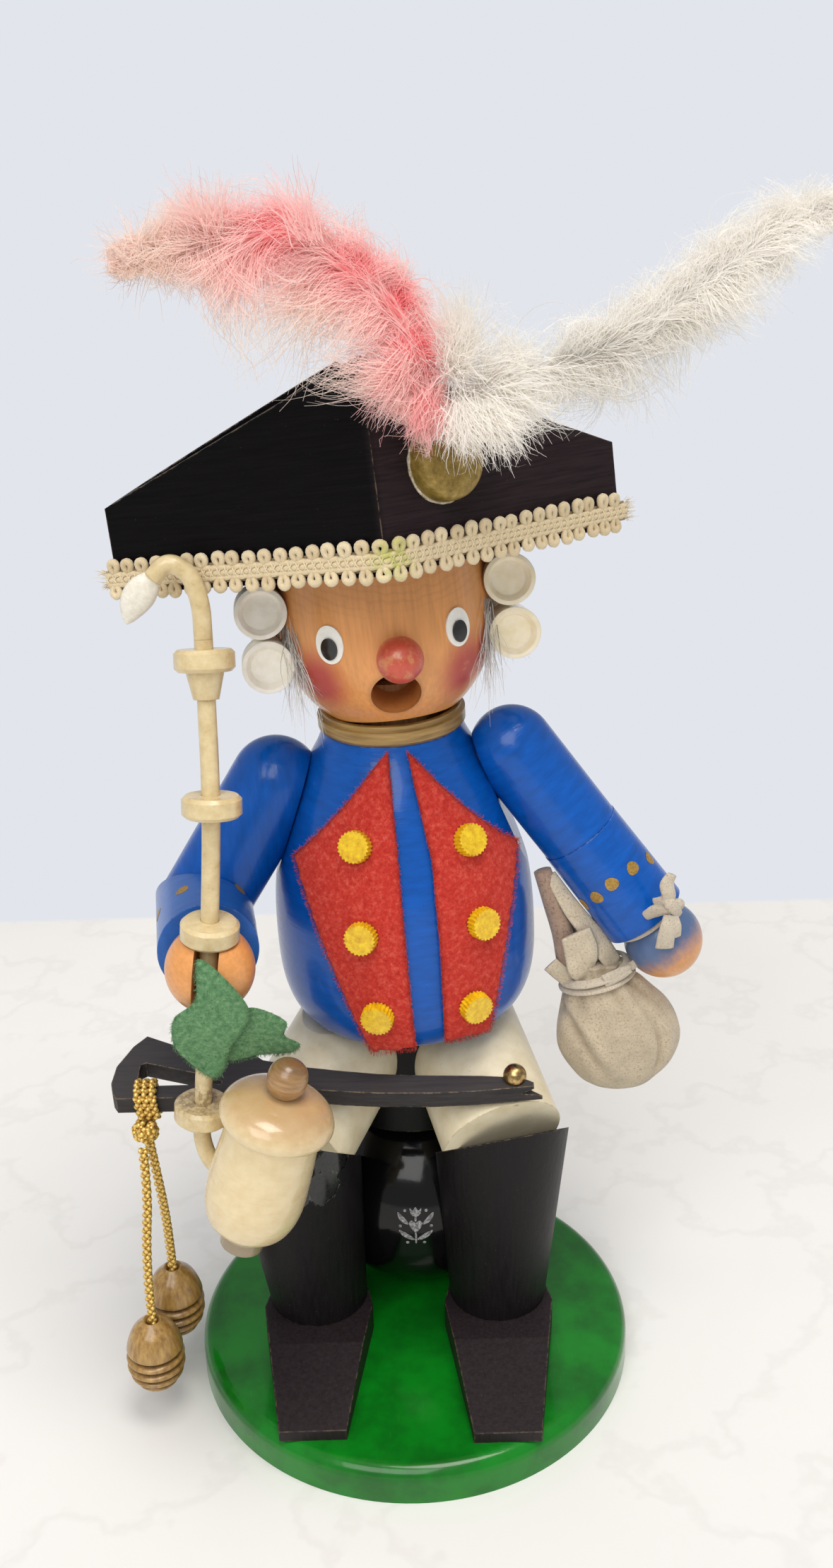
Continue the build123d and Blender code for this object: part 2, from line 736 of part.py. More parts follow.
def head_blank(grow=0):
    """The turned head before it is bored, its side grown a little."""
    radius = head_radius + grow
    flat_drop = sqrt(head_radius**2 - head_flat_radius**2)
    flat_angle = atan2(flat_drop, sqrt(radius**2 - flat_drop**2))
    middle = (radius * cos(flat_angle / 2), -radius * sin(flat_angle / 2))
    with BuildPart() as blank:
        with BuildSketch(side_view(head_frame)) as outline:
            with BuildLine():
                arc_start = (radius * cos(flat_angle), -flat_drop)
                ThreePointArc(arc_start, middle, (radius, 0))
                Polyline((radius, 0), (radius, head_top), (0, head_top), (0, -flat_drop), arc_start)
            make_face()
        revolve(outline.sketch, axis=Axis(head_frame.origin, head_frame.z_dir))
    return blank.part


def head_direction(turn, rise):
    """The unit direction from the head's middle, turned from its front and rising."""
    local = toward(turn, rise)
    return head_frame.x_dir * local.X + head_frame.y_dir * local.Y + head_frame.z_dir * local.Z


# Head, bored for the neck tube, the smoke chamber and the mouth
mouth_point = head_frame.origin + head_direction(mouth_turn, -mouth_drop) * head_radius
mouth_inwards = -head_direction(mouth_turn, -mouth_rise)
with BuildPart() as head:
    add(head_blank())
    ball(head_frame.origin, chamber_radius, Mode.SUBTRACT)
    rod(shifted(coat_frame, up=coat_height), neck_room, head_up - coat_height, Mode.SUBTRACT)
    rod(
        Plane(origin=mouth_point - mouth_inwards * overrun, z_dir=mouth_inwards),
        mouth_radius, overrun + chamber_radius, Mode.SUBTRACT,
    )
pieces["head"] = head

nose_direction = head_direction(nose_turn, 0)
nose_reach = head_radius + nose_radius - nose_sink
with BuildPart() as nose:
    ball(spot(head_frame, up=-nose_drop) + nose_direction * nose_reach, nose_radius)
    add(head_blank(glue_gap), mode=Mode.SUBTRACT)
pieces["nose"] = nose


def painted_ovals(width, height, up, under, thickness):
    """Two thin ovals on the front of the head, over what lies under them."""
    with BuildPart() as ovals:
        for turn in (-eye_turn, eye_turn):
            facing = head_direction(turn, 0)
            across = head_frame.z_dir.cross(facing)
            with BuildSketch(Plane(origin=spot(head_frame, up=up), x_dir=across, z_dir=facing)) as oval:
                Ellipse(width / 2, height / 2)
            extrude(oval.sketch, amount=head_radius + overrun)
        add(head_blank(under + thickness), mode=Mode.INTERSECT)
        add(head_blank(under), mode=Mode.SUBTRACT)
    return ovals


pieces["eye_whites"] = painted_ovals(eye_width, eye_height, eye_up, glue_gap, eye_thickness)
pieces["eye_pupils"] = painted_ovals(
    pupil_width, pupil_height, eye_up - pupil_drop, 2 * glue_gap + eye_thickness, eye_thickness
)

# Curls: four turned cups that open forwards
for side, outward in (("right", -1), ("left", 1)):
    for level, up in (("upper", upper_curl_up), ("lower", -lower_curl_down)):
        back_middle = spot(head_frame, side=outward * curl_side, back=-curl_forward, up=up)
        with BuildPart() as curl:
            lathe(
                Plane(origin=back_middle, x_dir=head_frame.x_dir, z_dir=-head_frame.y_dir),
                (0, 0), (curl_radius, 0), (curl_radius, curl_length), (curl_radius - curl_rim, curl_length),
                (curl_radius - 2 * curl_rim, curl_length - curl_dish), (0, curl_length - curl_dish),
            )
            add(head_blank(glue_gap), mode=Mode.SUBTRACT)
        pieces[f"{side}_{level}_curl"] = curl

# Fur round the back of the head, from curl to curl
fur_start = head_radius + glue_gap
with BuildPart() as fur_wig:
    lathe(
        shifted(head_frame, up=head_top - fur_height),
        (fur_start, 0), (fur_start + fur_thickness, 0),
        (fur_start + fur_thickness, fur_height), (fur_start, fur_height),
    )
    split(
        bisect_by=Plane(origin=spot(head_frame, back=-fur_forward), z_dir=head_frame.y_dir), keep=Keep.TOP
    )
pieces["fur_wig"] = fur_wig

# Hat: three upright walls with a crown inside
face_turn = radians(hat_face_turn)
hat_tip_forward = hat_corner_forward - hat_half_width * tan(face_turn)
hat_corner = (0, -hat_corner_forward)
hat_right_tip = (-hat_half_width, -hat_tip_forward)
hat_left_tip = (hat_half_width, -hat_tip_forward)
with BuildPart() as hat:
    with BuildSketch(hat_frame) as plan:
        with BuildLine():
            Polyline(hat_right_tip, hat_corner, hat_left_tip)
            ThreePointArc(hat_left_tip, (0, hat_back_reach), hat_right_tip)
        make_face()
    extrude(plan.sketch, amount=hat_peak_height)
    with BuildSketch(shifted(hat_frame, up=hat_floor)) as pocket:
        add(plan.sketch_local)
        offset(amount=-hat_wall, kind=Kind.INTERSECTION, mode=Mode.REPLACE)
    extrude(pocket.sketch, amount=hat_peak_height, mode=Mode.SUBTRACT)
    with BuildSketch(side_view(hat_frame)) as roof:
        with BuildLine():
            Polyline(
                (-hat_half_width - overrun, hat_tip_height), (-hat_half_width, hat_tip_height),
                (0, hat_peak_height), (hat_half_width, hat_tip_height),
                (hat_half_width + overrun, hat_tip_height),
                (hat_half_width + overrun, hat_peak_height + overrun),
                (-hat_half_width - overrun, hat_peak_height + overrun), close=True,
            )
        make_face()
    extrude(roof.sketch, amount=hat_half_width, both=True, mode=Mode.SUBTRACT)
    lathe_curve(
        shifted(hat_frame, side=hat_shift, up=hat_floor / 2),
        (hat_crown_radius, 0), (hat_crown_radius, hat_crown_height / 2),
        (hat_crown_radius / 2, hat_crown_height), (hat_floor / 2, hat_crown_height + hat_floor / 4),
    )
pieces["hat"] = hat

# Braid along the foot of both front walls
left_normal = Vector(sin(face_turn), -cos(face_turn))
right_normal = Vector(-sin(face_turn), -cos(face_turn))
with BuildPart() as hat_trim:
    with BuildSketch(hat_frame):
        with BuildLine():
            Polyline(
                hat_right_tip, hat_corner, hat_left_tip, Vector(hat_left_tip) + left_normal * trim_thickness,
                (0, -hat_corner_forward - trim_thickness / cos(face_turn)),
                Vector(hat_right_tip) + right_normal * trim_thickness, close=True,
            )
        make_face()
    extrude(amount=trim_height)
pieces["hat_trim"] = hat_trim

# Cockade on the left front wall
cockade_side = cockade_along * cos(face_turn)
cockade_back = cockade_along * sin(face_turn) - hat_corner_forward
cockade_middle = spot(hat_frame, cockade_side, cockade_back, cockade_up)
cockade_facing = hat_frame.x_dir * left_normal.X + hat_frame.y_dir * left_normal.Y
with BuildPart() as cockade:
    lathe_curve(
        Plane(origin=cockade_middle, z_dir=cockade_facing),
        (cockade_radius, 0), (cockade_radius, cockade_thickness / 3),
        (cockade_radius * sin(pi / 3), cockade_thickness * cos(pi / 6)),
        (cockade_radius / 2, cockade_thickness), (glue_gap, cockade_thickness + glue_gap),
    )
pieces["cockade"] = cockade

# Feathers, glued behind the top of the cockade and leaning back over the hat
feather_start = spot(hat_frame, cockade_side, -hat_corner_forward, cockade_up + cockade_radius / 2)
feather_frame = leaning(feather_start, -head_side_lean, head_back_lean, head_turn)
feather_lines = {}
for name, row in (("pink", 1), ("white", 0)):
    front = -feather_stand_off - row * (feather_thickness + soft_gap) + feather_thickness
    feather_lines[name] = [
        (front, -overrun), (front, feather_bend_up),
        (front + pink_length * tan(radians(feather_lean)), feather_bend_up + pink_length),
    ]
with BuildPart() as pink_feather:
    outline = scaled(pink_shares, pink_length, pink_length)
    add(bent_sheet(feather_frame, outline, feather_lines["pink"], feather_thickness))
    add(cockade.part, mode=Mode.SUBTRACT)
pieces["pink_feather"] = pink_feather
with BuildPart() as white_feather:
    outline = scaled(white_shares, white_length, white_length)
    add(bent_sheet(feather_frame, outline, feather_lines["white"], feather_thickness))
    add(cockade.part, mode=Mode.SUBTRACT)
    add(hat.part, mode=Mode.SUBTRACT)
pieces["white_feather"] = white_feather

# Right arm, mitred at the elbow
right_arm_direction = toward(right_arm_turn, -right_arm_drop)
forearm_direction = toward(forearm_turn, forearm_rise)
elbow = right_shoulder + right_arm_direction * right_arm_length
mitre = Plane(origin=elbow, z_dir=right_arm_direction + forearm_direction)
right_wrist = Plane(origin=elbow + forearm_direction * forearm_length, z_dir=forearm_direction)
right_hand_center = right_wrist.origin + forearm_direction * right_hand_reach
past_elbow = 2 * forearm_radius
with BuildPart() as right_upper_arm:
    arm_frame = Plane(origin=right_shoulder, z_dir=right_arm_direction)
    rod(arm_frame, right_arm_radius, right_arm_length + past_elbow)
    ball(right_shoulder, right_arm_radius)
    split(bisect_by=mitre, keep=Keep.BOTTOM)
    split(bisect_by=shoulder_plane(-1), keep=Keep.TOP)
    rod(right_dowel_frame, thin_room, 2 * thin_dowel_depth, Mode.SUBTRACT)
pieces["right_upper_arm"] = right_upper_arm
with BuildPart() as right_forearm:
    arm_frame = Plane(origin=elbow - forearm_direction * past_elbow, z_dir=forearm_direction)
    rod(arm_frame, forearm_radius, past_elbow + forearm_length)
    split(bisect_by=mitre, keep=Keep.TOP)
pieces["right_forearm"] = right_forearm

# Right hand: a ball slotted from the front for the stem, flat on top for a ring of the pipe
grip_frame = leaning(right_hand_center + Vector(-grip_side, -grip_forward, 0), side=stem_side_lean)
with BuildPart() as right_hand:
    ball(right_hand_center, right_hand_radius)
    split(bisect_by=right_wrist, keep=Keep.TOP)
    split(bisect_by=shifted(grip_frame, up=grip_flat_up), keep=Keep.BOTTOM)
    with BuildSketch(shifted(grip_frame, up=-2 * right_hand_radius)):
        Circle(grip_slot / 2)
        with Locations((0, -right_hand_radius)):
            Rectangle(grip_slot, 2 * right_hand_radius)
    extrude(amount=4 * right_hand_radius, mode=Mode.SUBTRACT)
pieces["right_hand"] = right_hand

# Left arm, straight, with a cuff
left_arm_direction = toward(left_arm_turn, -left_arm_drop)
left_arm_frame = Plane(origin=left_shoulder, z_dir=left_arm_direction)
left_cuff_start = shifted(left_arm_frame, up=left_arm_length)
left_wrist = shifted(left_cuff_start, up=cuff_length)
left_hand_center = spot(left_wrist, up=left_hand_reach)
with BuildPart() as left_upper_arm:
    rod(left_arm_frame, left_arm_radius, left_arm_length)
    ball(left_shoulder, left_arm_radius)
    split(bisect_by=shoulder_plane(1), keep=Keep.TOP)
    rod(left_dowel_frame, thin_room, 2 * thin_dowel_depth, Mode.SUBTRACT)
pieces["left_upper_arm"] = left_upper_arm
with BuildPart() as left_forearm:
    lathe(left_cuff_start, (0, 0), (cuff_start_radius, 0), (cuff_radius, cuff_length), (0, cuff_length))
pieces["left_forearm"] = left_forearm
with BuildPart() as left_hand:
    ball(left_hand_center, left_hand_radius)
    split(bisect_by=left_wrist, keep=Keep.TOP)
pieces["left_hand"] = left_hand

# Pipe stem: a lower run through the hand, a middle run and a top run, bent inside the rings
lowest_ring_frame = shifted(grip_frame, up=-lowest_ring_drop)
seat_ring_frame = shifted(grip_frame, up=grip_flat_up + running_gap + ring_length / 2)
lowest_ring = lowest_ring_frame.origin
seat_ring = seat_ring_frame.origin
middle_direction = leaning(seat_ring, middle_run_side, middle_run_back)
upper_ring = spot(middle_direction, up=middle_run)
top_direction = leaning(upper_ring, top_run_side, top_run_back)
stem_top = spot(top_direction, up=top_run)
top_ring = spot(top_direction, up=top_run - top_ring_down)
stem_points = [lowest_ring, seat_ring, upper_ring, stem_top]
with BuildPart() as pipe_stem:
    add(tube(stem_points, stem_radius))
pieces["pipe_stem"] = pipe_stem


def ring_outline(start):
    """A turned ring with broken edges, from the axis outwards."""
    return (
        (0, start), (ring_radius - ring_round, start), (ring_radius, start + ring_round),
        (ring_radius, start + ring_length - ring_round), (ring_radius - ring_round, start + ring_length),
        (0, start + ring_length),
    )


upper_side_lean = (middle_run_side + top_run_side) / 2
upper_back_lean = (middle_run_back + top_run_back) / 2
upper_ring_frame = leaning(upper_ring, upper_side_lean, upper_back_lean)
top_ring_frame = leaning(top_ring, top_run_side, top_run_back)
stem_room = stem_radius + glue_gap
with BuildPart() as pipe_rings:
    for frame in (lowest_ring_frame, seat_ring_frame, upper_ring_frame, top_ring_frame):
        lathe(frame, *ring_outline(-ring_length / 2))
    lathe(
        shifted(top_ring_frame, up=-ring_length / 2 - flare_length),
        (0, 0), (stem_radius + ring_round, 0), (flare_radius, flare_length), (0, flare_length),
    )
    add(tube(stem_points, stem_room), mode=Mode.SUBTRACT)
    rod(shifted(lowest_ring_frame, up=-ring_length), stem_room, ring_length, Mode.SUBTRACT)
pieces["pipe_rings"] = pipe_rings

# Bent mouth end and its drop-shaped mouthpiece
bend_points = [stem_top + Vector(x, y, z) * bend_size for x, y, z in bend_shares]
bend_solid = tube(bend_points, stem_radius)
with BuildPart() as pipe_bend:
    add(bend_solid)
    split(bisect_by=Plane(origin=stem_top, z_dir=top_direction.z_dir), keep=Keep.TOP)
pieces["pipe_bend"] = pipe_bend
with BuildPart() as pipe_mouthpiece:
    lathe_curve(
        Plane(origin=bend_points[-1], z_dir=toward(mouthpiece_turn, -mouthpiece_drop)),
        *scaled(mouthpiece_shares, mouthpiece_radius, mouthpiece_length),
    )
    add(bend_solid, mode=Mode.SUBTRACT)
pieces["pipe_mouthpiece"] = pipe_mouthpiece

# Bowl, lid and knob on one leaning axis, and the elbow that carries them
bowl_frame = leaning(lowest_ring + Vector(bowl_side, -bowl_forward, -bowl_foot_drop), side=bowl_lean)
with BuildPart() as pipe_bowl:
    lathe(
        bowl_frame,
        (0, 0), (bowl_foot_radius, 0), (bowl_foot_radius, bowl_foot_height), (0, bowl_foot_height),
    )
    lathe_curve(
        bowl_frame,
        (bowl_foot_radius - ring_round, bowl_foot_height), *scaled(bowl_shares, bowl_radius, bowl_height),
    )
pieces["pipe_bowl"] = pipe_bowl
lid_frame = shifted(bowl_frame, up=bowl_height)
with BuildPart() as bowl_lid:
    lathe_curve(lid_frame, *scaled(lid_shares, lid_radius, lid_height))
pieces["bowl_lid"] = bowl_lid
with BuildPart() as lid_knob:
    lathe_curve(shifted(lid_frame, up=lid_height), *scaled(knob_shares, knob_radius, knob_height))
    add(bowl_lid.part, mode=Mode.SUBTRACT)
pieces["lid_knob"] = lid_knob
elbow_points = [lowest_ring + Vector(x, y, z) * elbow_size for x, y, z in elbow_shares]
with BuildPart() as pipe_elbow:
    add(tube(elbow_points, stem_radius))
    split(bisect_by=lowest_ring_frame, keep=Keep.BOTTOM)
    add(pipe_bowl.part, mode=Mode.SUBTRACT)
pieces["pipe_elbow"] = pipe_elbow

# Felt leaves glued to the front of the stem
leaf_frame = Plane(origin=grip_frame.origin)
leaf_line = scaled(leaf_bend_shares, leaf_unit, leaf_unit)
for name, shares, behind in (
    ("large_leaf", large_leaf_shares, 0), ("small_leaf", small_leaf_shares, leaf_thickness + glue_gap)
):
    with BuildPart() as leaf:
        line = [(back + behind, up) for back, up in leaf_line]
        add(bent_sheet(leaf_frame, scaled(shares, leaf_unit, leaf_unit), line, leaf_thickness))
        add(tube(stem_points, stem_room), mode=Mode.SUBTRACT)
    pieces[name] = leaf

# Cord knotted round the front bar of the guard
knot_bar = shifted(sabre_frame, side=knot_along_share * sabre_length)
bar_near, bar_far = sabre_shares[0][1] * sabre_width, guard_slot_shares[0][1] * sabre_width
knot_center = spot(knot_bar, up=-knot_drop) + Vector(0, -knot_forward, 0)
with BuildPart() as sword_knot:
    for place in (-1, 1):
        band_start = place * (band_width + band_gap) / 2 - band_width / 2
        section = Plane(origin=spot(knot_bar, side=band_start), x_dir=knot_bar.y_dir, z_dir=knot_bar.x_dir)
        with BuildSketch(section) as band:
            with Locations(((bar_near + bar_far) / 2, sabre_thickness / 2)):
                bar_width = bar_far - bar_near + 2 * glue_gap
                bar_height = sabre_thickness + 2 * glue_gap
                RectangleRounded(
                    bar_width + 2 * band_thickness, bar_height + 2 * band_thickness, band_thickness
                )
                Rectangle(bar_width, bar_height, mode=Mode.SUBTRACT)
        extrude(band.sketch, amount=band_width)
    ball(knot_center, knot_radius)
    add(sabre.part, mode=Mode.SUBTRACT)
pieces["sword_knot"] = sword_knot

# Two cord tails with turned beads
for name, points in (("front", front_cord_points), ("rear", rear_cord_points)):
    radii = tube_radii(points)
    cord_solid = tube(points, cord_radius)
    length = sum((Vector(b) - Vector(a)).length for a, b in zip(points, points[1:]))
    section_by_length = pi * cord_radius**2 * length
    print(name, "cord radii", [round(radius, 1) for radius in radii])
    print(name, "cord volume", round(cord_solid.volume, 1), "section by length", round(section_by_length, 1))
    with BuildPart() as tassel_cord:
        add(cord_solid)
    pieces[f"{name}_tassel_cord"] = tassel_cord
    end = Vector(points[-1])
    bead_top = end + Vector(0, 0, bead_bore_depth - 2 * cord_radius)
    with BuildPart() as bead:
        lathe_curve(
            Plane(origin=bead_top - Vector(0, 0, bead_height)), *scaled(bead_shares, bead_radius, bead_height)
        )
        rod(Plane(origin=end - Vector(0, 0, cord_radius)), cord_radius + soft_gap, bead_height, Mode.SUBTRACT)
    pieces[f"{name}_bead"] = bead

# Purse: a soft bag drawn in at the neck, with a frill that rises beside the arm
pouch_side = left_hand_center.X - pouch_inward
pouch_bottom = left_hand_center.Z - pouch_drop
with BuildPart() as money_pouch:
    for side_share, up_share, width_share, depth_share in pouch_shares:
        origin = (
            pouch_side + side_share * pouch_half_width, pouch_back, pouch_bottom + up_share * pouch_height
        )
        with BuildSketch(Plane(origin=origin)):
            Ellipse(width_share * pouch_half_width, depth_share * pouch_half_width)
    loft()
pieces["money_pouch"] = money_pouch

# Leather tie round the neck of the purse, with the strap up to the wrist
tie_middle = Vector(
    pouch_side - tie_side_share * pouch_half_width, pouch_back, pouch_bottom + tie_neck_share * pouch_height
)
thong_room = thong_radius + glue_gap
thong_ring_radius = sqrt((left_hand_radius + thong_room) ** 2 - (left_hand_reach - thong_room) ** 2)
thong_frame = shifted(left_wrist, up=thong_room)
downwards = Vector(0, 1, 0).cross(thong_frame.z_dir).normalized()
strap_end = thong_frame.origin + downwards * (thong_ring_radius + thong_radius + tie_thickness)
with BuildPart() as pouch_tie:
    with BuildSketch(Plane(origin=tie_middle - Vector(0, 0, tie_width / 2))) as ring:
        Ellipse(tie_ring_width, tie_ring_depth)
    extrude(ring.sketch, amount=tie_width)
    strap_start = tie_middle + Vector(tie_ring_width - tie_thickness, 0, 0)
    with BuildSketch(Plane(origin=strap_start, x_dir=(0, 1, 0), z_dir=strap_end - strap_start)) as strap:
        Rectangle(tie_width, tie_thickness)
    extrude(strap.sketch, amount=(strap_end - strap_start).length)
    add(money_pouch.part, mode=Mode.SUBTRACT)
pieces["pouch_tie"] = pouch_tie

# Leather thong round the left wrist, knotted in front
knot_direction = thong_frame.z_dir.cross(Vector(1, 0, 0)).normalized()
with BuildPart() as wrist_thong:
    with BuildSketch(side_view(thong_frame)) as section:
        with Locations((thong_ring_radius, 0)):
            Circle(thong_radius)
    revolve(section.sketch, axis=Axis(thong_frame.origin, thong_frame.z_dir))
    ball(thong_frame.origin + knot_direction * (thong_ring_radius + thong_knot_radius / 2), thong_knot_radius)
    add(left_hand.part, mode=Mode.SUBTRACT)
    add(left_forearm.part, mode=Mode.SUBTRACT)
pieces["wrist_thong"] = wrist_thong

# Dowels that hold the glued wooden pieces
with BuildPart() as lower_dowels:
    rod(shifted(seat_dowel_frame, up=glue_gap), dowel_radius, 2 * dowel_depth - 2 * glue_gap)
    rod(shifted(hip_dowel_frame, up=glue_gap), dowel_radius, 2 * dowel_depth - 2 * glue_gap)
    for frame in ankle_dowels:
        rod(shifted(frame, up=glue_gap), thin_dowel_radius, 2 * thin_dowel_depth - 2 * glue_gap)
pieces["lower_dowels"] = lower_dowels
with BuildPart() as arm_dowels:
    for frame in (right_dowel_frame, left_dowel_frame):
        rod(shifted(frame, up=glue_gap), thin_dowel_radius, 2 * thin_dowel_depth - 2 * glue_gap)
pieces["arm_dowels"] = arm_dowels

for name, piece in pieces.items():
    piece.part.label = name
    export_step(piece.part, f"parts/{name}.step")
print(len(pieces), "pieces")
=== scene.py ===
"""Feathers, braid, fur, felt, leather, cords and painted wood for a turned incense smoker."""

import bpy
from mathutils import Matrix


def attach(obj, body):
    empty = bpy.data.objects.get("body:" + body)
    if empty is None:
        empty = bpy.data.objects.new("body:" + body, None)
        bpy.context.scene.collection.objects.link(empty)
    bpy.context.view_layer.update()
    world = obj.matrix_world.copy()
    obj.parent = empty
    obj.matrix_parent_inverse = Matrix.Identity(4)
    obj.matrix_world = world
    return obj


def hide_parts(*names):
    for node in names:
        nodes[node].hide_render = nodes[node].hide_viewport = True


bl_info = {
    "name": "Turned Incense Smoker",
    "version": (1, 0, 0),
    "blender": (4, 5, 0),
    "location": "3D View > Sidebar > Smoker",
    "description": "Dresses the turned wooden figure with its paint, felt, feathers, braid, leather and cords",
    "category": "Object",
}

import math

import bpy
import numpy as np
from bpy.props import FloatProperty, FloatVectorProperty, IntProperty, PointerProperty
from mathutils import Matrix, Vector, geometry

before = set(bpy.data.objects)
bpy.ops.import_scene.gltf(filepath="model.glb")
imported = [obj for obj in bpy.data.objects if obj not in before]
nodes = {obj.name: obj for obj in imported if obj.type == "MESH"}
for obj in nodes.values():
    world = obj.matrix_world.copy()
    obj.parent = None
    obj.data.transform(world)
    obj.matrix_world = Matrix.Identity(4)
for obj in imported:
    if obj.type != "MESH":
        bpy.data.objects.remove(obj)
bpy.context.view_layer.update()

MILLIMETRE = 0.001

# Sizes of the CAD pieces that the dressing follows, in millimetres
COAT_RADIUS, COAT_HEIGHT = 32.6, 76.5
SABRE_LENGTH = 105
LEAF_UNIT = 20
BEAD_RADIUS, BEAD_HEIGHT, BEAD_SUNK = 7.45, 21, 5.6
PURSE_ACROSS, PURSE_DEEP, PURSE_FOOT = 54.4, 5, 78
PURSE_RADIUS, PURSE_HEIGHT = 15.5, 60
HAT_FRONT, HAT_SIDE, HAT_BACK = 46, 57, 12
FACE_TURN = math.atan2(HAT_FRONT - HAT_BACK, HAT_SIDE)
SEAT_RADIUS, HEAD_RADIUS = 28.5, 25

# Places in the model, in millimetres
SEAT_MIDDLE = Vector((2, 22, 37.7))
KNOT_MIDDLE = (-63.47, -21.66, 85.24)
GRIP = (-43.563, -29.952, 133.79)

# Steps along a feather's quill, and plies of a cord
QUILL_POINTS = 160
PLIES = 2


# Colours and frames

def tint(red, green, blue):
    """A colour of 0 to 255, as it looks on a screen, in Blender's linear values."""
    shares = [value / 255 for value in (red, green, blue)]
    return tuple(s / 12.92 if s <= 0.04045 else ((s + 0.055) / 1.055) ** 2.4 for s in shares)


def shaded(base, share):
    """A colour made darker, or lighter up to white."""
    return tuple(min(1, channel * share) for channel in base)


def colour(name, note, red, green, blue):
    """A colour that a user can change in the panel."""
    return FloatVectorProperty(
        name=name, description=note, subtype="COLOR", size=3, min=0, max=1, default=tint(red, green, blue)
    )


def size(name, note, value, low, high):
    """A size in millimetres that a user can change in the panel."""
    return FloatProperty(name=name, description=note + ", in millimetres", default=value, min=low, max=high)


def leaning(point, side=0, back=0, turn=0):
    """A frame in millimetres whose z leans side degrees to +X and back degrees to +Y, its front turned to +X."""
    up = Vector((math.tan(math.radians(side)), math.tan(math.radians(back)), 1)).normalized()
    front = Vector((math.sin(math.radians(turn)), -math.cos(math.radians(turn)), 0))
    across = up.cross(front).normalized()
    return frame_of(point, across, up)


def frame_of(point, across, up):
    """A frame from its origin, x direction and z direction."""
    across, up = Vector(across).normalized(), Vector(up).normalized()
    made = Matrix.Identity(4)
    for column, axis in enumerate((across, up.cross(across), up, Vector(point))):
        made.col[column].xyz = axis
    return made


def toward(turn, rise):
    """The unit direction turned from the front to +X, and rising above level."""
    turn, rise = math.radians(turn), math.radians(rise)
    return Vector((math.sin(turn) * math.cos(rise), -math.cos(turn) * math.cos(rise), math.sin(rise)))


coat_frame = leaning((1.6, 15, 99), side=-1.9)
head_frame = leaning((-1.75, 15, 199.98), -5.5, 8, 7)
hat_frame = head_frame @ Matrix.Translation((-1.9, 0, 16.9))
feather_frame = head_frame @ Matrix.Translation((12.8, -46, 42.0))
sabre_frame = frame_of((-72, -21, 89.1), (1, 0, 0), (0, -0.1392, 0.9903))
bowl_frame = leaning((-40.165, -37.952, 64.025), side=16.6)
left_arm = frame_of((44.089, 8.838, 147.553), (-0.8027, 0, -0.5964), (0.5932, -0.1041, -0.7983))
right_arm = frame_of((-44.639, -20.165, 133.464), (-0.988, -0.1547, 0), (0.1546, -0.9873, 0.0366))
left_wrist = left_arm @ Matrix.Translation((0, 0, 27))


# Mesh helpers, all in millimetres

class Form:
    """Points and faces gathered from several shapes, with a tone for each point."""

    def __init__(self):
        self.points, self.faces, self.tones = [], [], []

    def add(self, points, faces, tone=0.5):
        start = len(self.points)
        self.points.extend(tuple(point) for point in points)
        self.faces.extend(tuple(index + start for index in face) for face in faces)
        self.tones.extend(tone if hasattr(tone, "__len__") else [tone] * len(points))


def make(name, form, material, body, replaces=()):
    """Turn a form into a Blender object that rides on a body."""
    mesh = bpy.data.meshes.new(name)
    points = np.array([tuple(point) for point in form.points], np.float64) * MILLIMETRE
    mesh.from_pydata(points.tolist(), [], form.faces)
    mesh.validate()
    tone = mesh.attributes.new("tone", "FLOAT", "POINT")
    tone.data.foreach_set("value", np.array(form.tones, np.float32))
    mesh.shade_smooth()
    mesh.materials.append(material)
    piece = bpy.data.objects.new(name, mesh)
    bpy.context.scene.collection.objects.link(piece)
    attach(piece, body)
    if replaces:
        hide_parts(*replaces)
    return piece


def distances(line):
    """How far along a line each of its points is."""
    return np.concatenate([[0], np.cumsum(np.linalg.norm(np.diff(line, axis=0), axis=1))])


def resampled(line, steps, wanted):
    """The places on a line that are the wanted distances along it."""
    return np.stack([np.interp(wanted, steps, line[:, axis]) for axis in range(line.shape[1])], 1)


def headings_of(line):
    """The unit direction of a line at each of its points."""
    along = np.gradient(line, axis=0)
    return along / np.linalg.norm(along, axis=1)[:, None]


def placed(points, placing):
    """Rows of points, moved from a frame into the model."""
    return points @ np.array(placing.to_3x3()).T + np.array(placing.to_translation())


def round_turn(count):
    """Even angles once round."""
    return np.linspace(0, 2 * math.pi, count, endpoint=False)


def scaled(shares, across, up):
    """Points given as shares of a width and a height."""
    return [(x * across, y * up) for x, y in shares]


def hoop(placing, count, wide, deep, rise):
    """A closed line about a frame's z. rise gives its height at an angle."""
    return [tuple(placing @ Vector((wide * math.cos(a), deep * math.sin(a), rise(a)))) for a in round_turn(count)]


def ring_faces(rings, sides, closed=False, capped=False):
    """Faces between rings that have sides points each."""
    faces = []
    for ring in range(rings if closed else rings - 1):
        after = (ring + 1) % rings
        for step in range(sides):
            turned = (step + 1) % sides
            faces.append((ring * sides + step, ring * sides + turned, after * sides + turned, after * sides + step))
    if capped:
        faces.append(tuple(reversed(range(sides))))
        faces.append(tuple(range((rings - 1) * sides, rings * sides)))
    return faces


def smooth_line(points, count, closed=False):
    """A smooth line through the points, as count points in even steps."""
    points = np.array([tuple(point) for point in points], float)
    if closed:
        points = np.vstack([points[-1], points, points[:2]])
    else:
        points = np.vstack([2 * points[0] - points[1], points, 2 * points[-1] - points[-2]])
    fine = []
    for a, b, c, d in zip(points, points[1:], points[2:], points[3:]):
        for t in np.linspace(0, 1, 16, endpoint=False):
            fine.append(0.5 * (
                2 * b + (c - a) * t + (2 * a - 5 * b + 4 * c - d) * t**2 + (3 * b - a - 3 * c + d) * t**3
            ))
    fine.append(points[1] if closed else points[-2])
    fine = np.array(fine)
    steps = distances(fine)
    line = resampled(fine, steps, np.linspace(0, steps[-1], count + 1 if closed else count))
    return line[:-1] if closed else line


